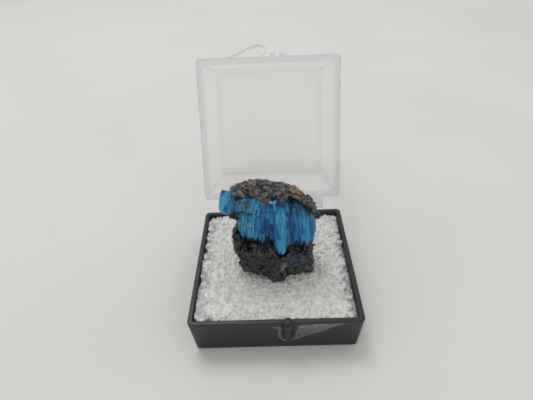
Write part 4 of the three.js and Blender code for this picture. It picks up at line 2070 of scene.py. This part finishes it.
    def shaped(self, points: Rows) -> Rows:
        """Slope the vein's front back at its top, keep it under the crust and draw its foot in.

        Args:
            points: the blank's points.

        Returns:
            The moved points.
        """
        x, y, z = points.T
        slope = self.front + self.shoulder_slope * np.maximum(z - self.shoulder_z, 0)
        y = np.where(z > self.shoulder_z - self.shoulder_lead, -kept_below(-y, -slope, self.front_ease), y)
        lobe = self.lobe_top - self.lobe_fall * np.maximum(y - self.lobe_back_y, 0)
        across = points * [1, 0, 0]
        ragged = self.roof_ragged * rough_noise(across, self.roof_grain, self.draw(Draw.ROOF))
        roof = np.where(x < self.lobe_x, lobe, self.form.height_at(x, y) - self.crust_cover + ragged)
        z = kept_below(z, roof, self.roof_ease)
        above_foot = (z - self.contact_at(x)) / self.foot_height
        tongue = nearness(across, (self.tongue_x, 0.0, 0.0), (self.tongue_reach, 1.0, 1.0))
        drawn = 1 - self.foot_taper * np.clip(1 - above_foot, 0, 1) * (1 - tongue)
        return np.column_stack([x * drawn, y * drawn, z])

    def grainy(self, points: Rows) -> Rows:
        """Rock grains sit only where rock still clings to the vein.

        Args:
            points: the layer's points.

        Returns:
            1 for each such point, and 0 for others.
        """
        total = np.zeros(len(points))
        for mark in (one for one in self.marks if one.stain is Stain.SOIL):
            total = np.maximum(total, nearness(points, mark.at, mark.reach) > self.clinging)
        return total

    def tone_at(self, points: Rows) -> Rows:
        """How light the blue is at each point, before each blade's own change.

        Args:
            points: the layer's points.

        Returns:
            A tone for each point, darkest at 0.
        """
        upright = points * [1.0, 1.0, self.band_stretch]
        tone = self.plain_tone + self.band * rough_noise(upright, self.band_width, self.draw(Draw.BANDS))
        for at, reach, amount in self.tones:
            tone += amount * nearness(points, at, reach)
        return tone

    def stain_at(self, stain: Stain, points: Rows) -> Rows:
        """How strong a stain is at each point, with the blades darker at both ends, where they meet rock.

        Args:
            stain: the stain.
            points: the layer's points.

        Returns:
            A share from 0 to 1 for each point.
        """
        total = super().stain_at(stain, points)
        if stain is not Stain.SOIL:
            return total
        x, y, z = points.T
        upright = points * [1.0, 1.0, self.dark_end_stretch]
        ragged = 1 + self.dark_end_ragged * rough_noise(upright, self.dark_end_width, self.draw(Draw.FEET))
        feet = self.contact_at(x) + self.dark_feet * ragged
        # The blades' tops darken towards the crust above them.
        head = self.form.height_at(x, y) - self.crust_cover - self.dark_head * ragged
        under_crust = np.clip((z - head) / self.head_fade, 0, self.head_most)
        under_crust *= x > self.lobe_x + self.head_start
        return np.maximum(np.maximum(total, under_crust), np.clip((feet - z) / self.feet_fade, 0, 1))

    def stand_blades(self, recipe: Recipe) -> Node:
        """Stand flat tapered blades side by side over the vein's sides, no longer than the vein is there.

        Args:
            recipe: the tree that gets the nodes, with the core as its input.

        Returns:
            The node with the blades as instances.
        """
        size, put = recipe.size, recipe.add
        seeds = [put(Kind.PLUS, size("Seed"), float(step)) for step in range(5)]
        facing = put(Kind.SPLIT, put(Kind.NORMAL))
        level = put(Kind.AMOUNT, facing.outputs[2])
        upright = put(Kind.IS_BELOW, level, 0.6)
        spots = put(Kind.SCATTER, size("Geometry"), Selection=upright, Density_Max=8.0,
                    Distance_Min=size("Blade spacing"), Seed=seeds[0])
        out = spots.outputs["Normal"]
        place = put(Kind.PLACE)
        inside = put(Kind.TIMES_PLUS_XYZ, out, (-0.4, -0.4, -0.4), place)
        up = put(Kind.SPLIT, place)
        faced = put(Kind.SPLIT, out)
        slope = put(Kind.TIMES, faced.outputs[1], faced.outputs[2])
        high = put(Kind.IS_ABOVE, up.outputs[2], size("Shoulder z"))
        most = put(Kind.TIMES, high, size("Shoulder slope"))
        back = put(Kind.RANGE, slope, From_Min=-0.4, From_Max=0.0, To_Min=most, To_Max=0.0)
        wobble = put(Kind.RANDOM, Min=-self.blade_wobble, Max=self.blade_wobble, Seed=seeds[3])
        fanned = put(Kind.TIMES, size("Fan"), -1.0)
        aside = put(Kind.TIMES_PLUS, up.outputs[0], fanned, wobble)
        leaning = put(Kind.PACK, aside, back, 1.0)
        spots = put(Kind.STORE_XYZ, spots, Name="lean", Value=leaning)
        lean = put(Kind.READ_XYZ, "lean")
        longest = put(Kind.RANDOM, Min=size("Blade shortest"), Max=size("Blade longest"), Seed=seeds[1])
        half = put(Kind.TIMES, longest, 0.5)
        grown = spots
        for name, way in (("below", -1.0), ("above", 1.0)):
            aim = put(Kind.SCALE_XYZ, lean, Scale=way)
            cast = put(Kind.CAST, Target_Geometry=size("Geometry"), Source_Position=inside, Ray_Length=30.0,
                       Ray_Direction=aim)
            room = put(Kind.TIMES_PLUS, cast.outputs["Hit Distance"], cast, 0.1)
            reach = put(Kind.LEAST, half, room)
            grown = put(Kind.STORE, grown, Name=name, Value=reach)
        below = put(Kind.READ, "below")
        above = put(Kind.READ, "above")
        tone = put(Kind.READ, "tone")
        change = put(Kind.RANDOM, Min=-self.blade_tone, Max=self.blade_tone, Seed=seeds[2])
        grown = put(Kind.STORE, grown, Name="tone", Value=put(Kind.PLUS, tone, change))
        climb = put(Kind.TIMES, put(Kind.MINUS, above, below), 0.5)
        inward = put(Kind.TIMES, size("Blade sink"), -1.0)
        sunk = put(Kind.SCALE_XYZ, out, Scale=inward)
        shift = put(Kind.PLUS_XYZ, put(Kind.SCALE_XYZ, lean, Scale=climb), sunk)
        moved = put(Kind.MOVE, grown, Offset=shift)
        rod = put(Kind.ROD, fill_type="TRIANGLE_FAN", Vertices=6, Side_Segments=5, Radius=0.5, Depth=1.0)
        end = put(Kind.TIMES, put(Kind.AMOUNT, up.outputs[2]), 2.0)
        worn = put(Kind.TIMES, put(Kind.POWER, end, 3.0), size("Blade taper"))
        slim = put(Kind.MINUS, 1.0, worn)
        shaped = put(Kind.TIMES_XYZ, place, put(Kind.PACK, slim, slim, 1.0))
        blade = put(Kind.MOVE, rod, Position=shaped)
        stood = put(Kind.AIM, Vector=lean, axis="Z")
        turned = put(Kind.AIM, stood, Vector=out, axis="Y", pivot_axis="Z")
        narrowest, widest = self.blade_widths
        width = put(Kind.RANDOM, Min=narrowest, Max=widest, Seed=seeds[4])
        wide = put(Kind.TIMES, width, size("Blade width"))
        deep = put(Kind.TIMES, size("Blade width"), self.blade_depth)
        scale = put(Kind.PACK, wide, deep, put(Kind.PLUS, below, above))
        return put(Kind.COPIES, moved, Instance=blade, Rotation=turned, Scale=scale)

    def break_up(self, piece: Piece, material: Material) -> None:
        """Stand the blades on the core, grow them together and keep each one's tone.

        Args:
            piece: the layer.
            material: its finish.
        """
        points = points_of(piece)
        keep_floats(piece, "grainy", self.grainy(points))
        keep_floats(piece, "tone", self.tone_at(points))
        sizes = named_sizes(self, "blade_width", "blade_spacing", "blade_taper", "blade_sink",
                            "blade_shortest", "blade_longest", "fan", "shoulder_z", "shoulder_slope")
        recipe = Recipe(self.name + "_blades", {**sizes, **self.lump_sizes()})
        blades = self.stand_blades(recipe)
        grains = self.set_lumps(recipe, "Grain", 9.0)
        recipe.finish(piece, recipe.add(Kind.JOIN, [recipe.size("Geometry"), blades, grains]), material)
        faces = [tuple(face.vertices) for face in piece.data.polygons]
        before = BVHTree.FromPolygons(points_of(piece).tolist(), faces)
        tones = floats_of(piece, "tone")
        fuse(piece, self.voxel, self.softening)
        nearest = [before.find_nearest(point)[2] for point in points_of(piece).tolist()]
        keep_floats(piece, "tone", np.array([tones[faces[face][0]] for face in nearest]))


# Tape

def make_film(piece: Piece, thickness: float, crease_deg: float = 60) -> None:
    """Give an open sheet its thickness, half of it to each side, and shade it.

    Args:
        piece: the sheet.
        thickness: how thick it gets.
        crease_deg: the angle past which an edge is sharp.
    """
    solid = piece.modifiers.new("film", "SOLIDIFY")
    solid.thickness = thickness
    solid.offset = 0.0
    settle(piece)
    face_out(piece)
    shade(piece, crease_deg)


@dataclass
class TrayTape:
    """Torn clear tape on the tray's front, which runs round the catch post and up to the rim."""

    tray: Tray
    lower: tuple[Flat, ...] = (
        (-0.8, 6.9), (0.3, 6.6), (0.4, 3.6), (1.5, 2.3), (3.6, 2.4), (5.5, 3.8), (8.3, 5.2), (11.0, 7.0),
        (12.8, 7.8))
    upper: tuple[Flat, ...] = (
        (-0.8, 7.3), (0.9, 7.3), (0.95, 4.2), (1.6, 3.5), (2.9, 3.5), (3.5, 4.6), (4.3, 7.7), (8.0, 7.9),
        (12.9, 7.9))
    post_half: float = 0.3
    post_foot: float = 3.9
    ridge: float = 0.4
    ridge_gap: float = 0.6
    ridge_width: float = 0.45
    ridge_top: float = 7.6
    bubbles: tuple[Flat, ...] = ((4.63, 4.05), (5.09, 4.84))
    bubble_rise: float = 0.14
    bubble_reach: float = 0.3
    wrinkle: float = 0.004
    wrinkle_width: float = 2.5
    seed: int = 91
    stand: float = 0.04
    thickness: float = 0.05
    along: int = 96
    across: int = 16

    def edge(self, points: Sequence[Flat]) -> Rows:
        """Points at even shares along an edge's corners.

        Args:
            points: the corners.

        Returns:
            The points as x and z.
        """
        corners = np.array(points)
        share = np.linspace(0, len(corners) - 1, self.along + 1)
        at = np.arange(len(corners))
        return np.column_stack([np.interp(share, at, corners[:, axis]) for axis in (0, 1)])

    def build(self) -> None:
        """Build the tape and dress it."""
        low = self.edge(self.lower)
        high = self.edge(self.upper)
        rows = [low + (high - low) * share for share in np.linspace(0, 1, self.across + 1)]
        flat = np.vstack(rows)
        x, z = flat[:, 0], flat[:, 1]
        beside = np.maximum(np.abs(x - self.tray.catch_x) - self.post_half, 0)
        post = np.hypot(beside, np.maximum(self.post_foot - z, 0))
        lift = self.ridge * np.exp(-((post - self.ridge_gap) / self.ridge_width) ** 2) * (z < self.ridge_top)
        for at_x, at_z in self.bubbles:
            away = (x - at_x) ** 2 + (z - at_z) ** 2
            lift += self.bubble_rise * np.exp(-away / self.bubble_reach ** 2)
        deep = np.column_stack([x, np.zeros(len(x)), z])
        lift += self.wrinkle * (1 + rough_noise(deep, self.wrinkle_width, self.seed))
        face = np.array([-self.tray.outer_half(height) for height in z])
        points = np.column_stack([x, face - self.stand - lift, z])
        faces = strip_faces(self.across + 1, self.along + 1, closed=False)
        piece = new_piece("tape_on_tray", points, faces)
        make_film(piece, self.thickness)
        hand_over(piece, ClearTape().material(), Body.BOX, Slot.TAPE, "tray_tape")


@dataclass
class LidTape:
    """The other half of the tape on the lid's front wall, lifted and curled over at its free end."""

    lid: Lid
    path: tuple[Flat, ...] = (
        (-10.3, 0.0), (-8.8, 0.35), (-6.4, 1.3), (-3.6, 2.35), (-2.1, 2.65), (-0.9, 2.35), (-0.45, 1.5),
        (-0.8, 0.7), (-1.7, 0.45), (-2.4, 0.95), (-2.35, 1.6))
    setback: float = 0.6
    width: float = 3.2
    ripple: float = 0.08
    ripple_pitch: float = 1.7
    ripple_turn: float = 4
    droop: float = 0.12
    skew: float = 0.15
    thickness: float = 0.06
    stand: float = 0.06
    steps: int = 72
    across: int = 12

    def smooth_path(self) -> Rows:
        """The strip's side view as a smooth curve through its points.

        Returns:
            The curve's points.
        """
        knots = np.array([self.path[0], *self.path, self.path[-1]])
        points = []
        for step in range(self.steps + 1):
            share = step / self.steps * (len(self.path) - 1)
            at = min(int(share), len(self.path) - 2)
            t = share - at
            a, b, c, d = knots[at:at + 4]
            points.append(0.5 * (2 * b + (c - a) * t + (2 * a - 5 * b + 4 * c - d) * t ** 2
                                 + (3 * b - a - 3 * c + d) * t ** 3))
        return np.array(points)

    def build(self) -> None:
        """Build the strip and dress it."""
        path = self.smooth_path()
        rows = []
        for share in np.linspace(0, 1, self.across + 1):
            z = self.lid.rim + self.setback + share * self.width
            wave = np.sin(path[:, 0] * self.ripple_pitch + self.ripple_turn * share)
            ripple = self.ripple * wave * np.minimum(path[:, 1], 1)
            height = np.maximum(path[:, 1] * (1 - self.droop * share) + ripple, 0)
            x = path[:, 0] + self.skew * share
            rows.append(np.column_stack([x, -self.lid.half - self.stand - height, np.full(len(path), z)]))
        faces = strip_faces(self.across + 1, self.steps + 1, closed=False)
        piece = new_piece("tape_on_lid", np.vstack(rows), faces)
        make_film(piece, self.thickness)
        self.lid.lay_open(piece)
        hand_over(piece, ClearTape().material(), Body.COVER, Slot.TAPE, "lid_tape")


# Studio

@dataclass
class Studio:
    """The pale floor, soft light and the camera at the photograph's place."""

    eye: Point = (0.1435, -62.8907, 72.5372)
    pitch_deg: float = 37.336
    yaw_deg: float = -1.1374
    roll_deg: float = -2.4588
    focal_px: float = 407.93
    image_width_px: float = 533.0
    sensor_mm: float = 36.0
    near_m: float = 0.005
    floor_mm: float = 3000.0
    floor_drop_mm: float = 0.02
    sky: str = "#fbfbfb"
    sky_strength: float = 0.615
    lamp_at: Point = (-0.12, 0.22, 0.6)
    lamp_aim: Point = (0.0, 0.0, 0.01)
    lamp_size: float = 0.25
    lamp_power: float = 1.0

    def camera(self) -> None:
        """Set the camera."""
        pitch, yaw, roll = (math.radians(a) for a in (self.pitch_deg, self.yaw_deg, self.roll_deg))
        ahead = Vector((math.sin(yaw) * math.cos(pitch), math.cos(yaw) * math.cos(pitch), -math.sin(pitch)))
        level = Vector((math.cos(yaw), -math.sin(yaw), 0.0))
        upward = level.cross(ahead)
        right = math.cos(roll) * level + math.sin(roll) * upward
        above = math.cos(roll) * upward - math.sin(roll) * level
        turn = Matrix((right, above, -ahead)).transposed().to_4x4()
        data = bpy.data.cameras.new("camera")
        data.sensor_fit = "HORIZONTAL"
        data.sensor_width = self.sensor_mm
        data.lens = self.sensor_mm * self.focal_px / self.image_width_px
        data.clip_start = self.near_m
        camera = bpy.data.objects.new("camera", data)
        camera.matrix_world = Matrix.Translation(Vector(self.eye) * MM) @ turn
        bpy.context.scene.collection.objects.link(camera)
        bpy.context.scene.camera = camera

    def floor(self) -> None:
        """Lay the paper floor."""
        half = self.floor_mm / 2
        corners = [
            (x * half, y * half, -self.floor_drop_mm) for x, y in ((-1, -1), (1, -1), (1, 1), (-1, 1))]
        piece = new_piece("paper_floor", corners, [(0, 1, 2, 3)])
        piece.data.transform(Matrix.Scale(MM, 4))
        piece.data.materials.append(PalePaper().material())

    def lights(self) -> None:
        """Hang a wide soft light above and behind, under an even pale sky."""
        world = bpy.data.worlds.new("soft_sky")
        world.use_nodes = True
        back = world.node_tree.nodes["Background"]
        back.inputs["Color"].default_value = linear(self.sky)
        back.inputs["Strength"].default_value = self.sky_strength
        bpy.context.scene.world = world
        data = bpy.data.lights.new("overhead", "AREA")
        data.energy = self.lamp_power
        data.size = self.lamp_size
        lamp = bpy.data.objects.new("overhead", data)
        aim = (Vector(self.lamp_aim) - Vector(self.lamp_at)).to_track_quat("-Z", "Y")
        lamp.matrix_world = Matrix.Translation(self.lamp_at) @ aim.to_matrix().to_4x4()
        bpy.context.scene.collection.objects.link(lamp)
        bpy.context.scene.view_settings.view_transform = "Standard"

    def build(self) -> None:
        """Set up the whole studio."""
        self.camera()
        self.floor()
        self.lights()


def main() -> None:
    """Build every piece in order."""
    logging.basicConfig(level=logging.INFO, format="%(name)s: %(message)s")
    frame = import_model()
    joint = frame["joints"][0]
    Studio().build()
    hinge = Hinge(y=joint["pos_m"][1] / MM, z=joint["pos_m"][2] / MM)
    tray = Tray(hinge)
    tray.build()
    lid = Lid(hinge, open_deg=max(joint["range_deg"]))
    lid.build()
    FoamPad(tray).build()
    LowerRock(frame).build()
    FibreVein(frame).build()
    RustyCrust(frame).build()
    TrayTape(tray).build()
    LidTape(lid).build()


if __name__ == "__main__":
    main()
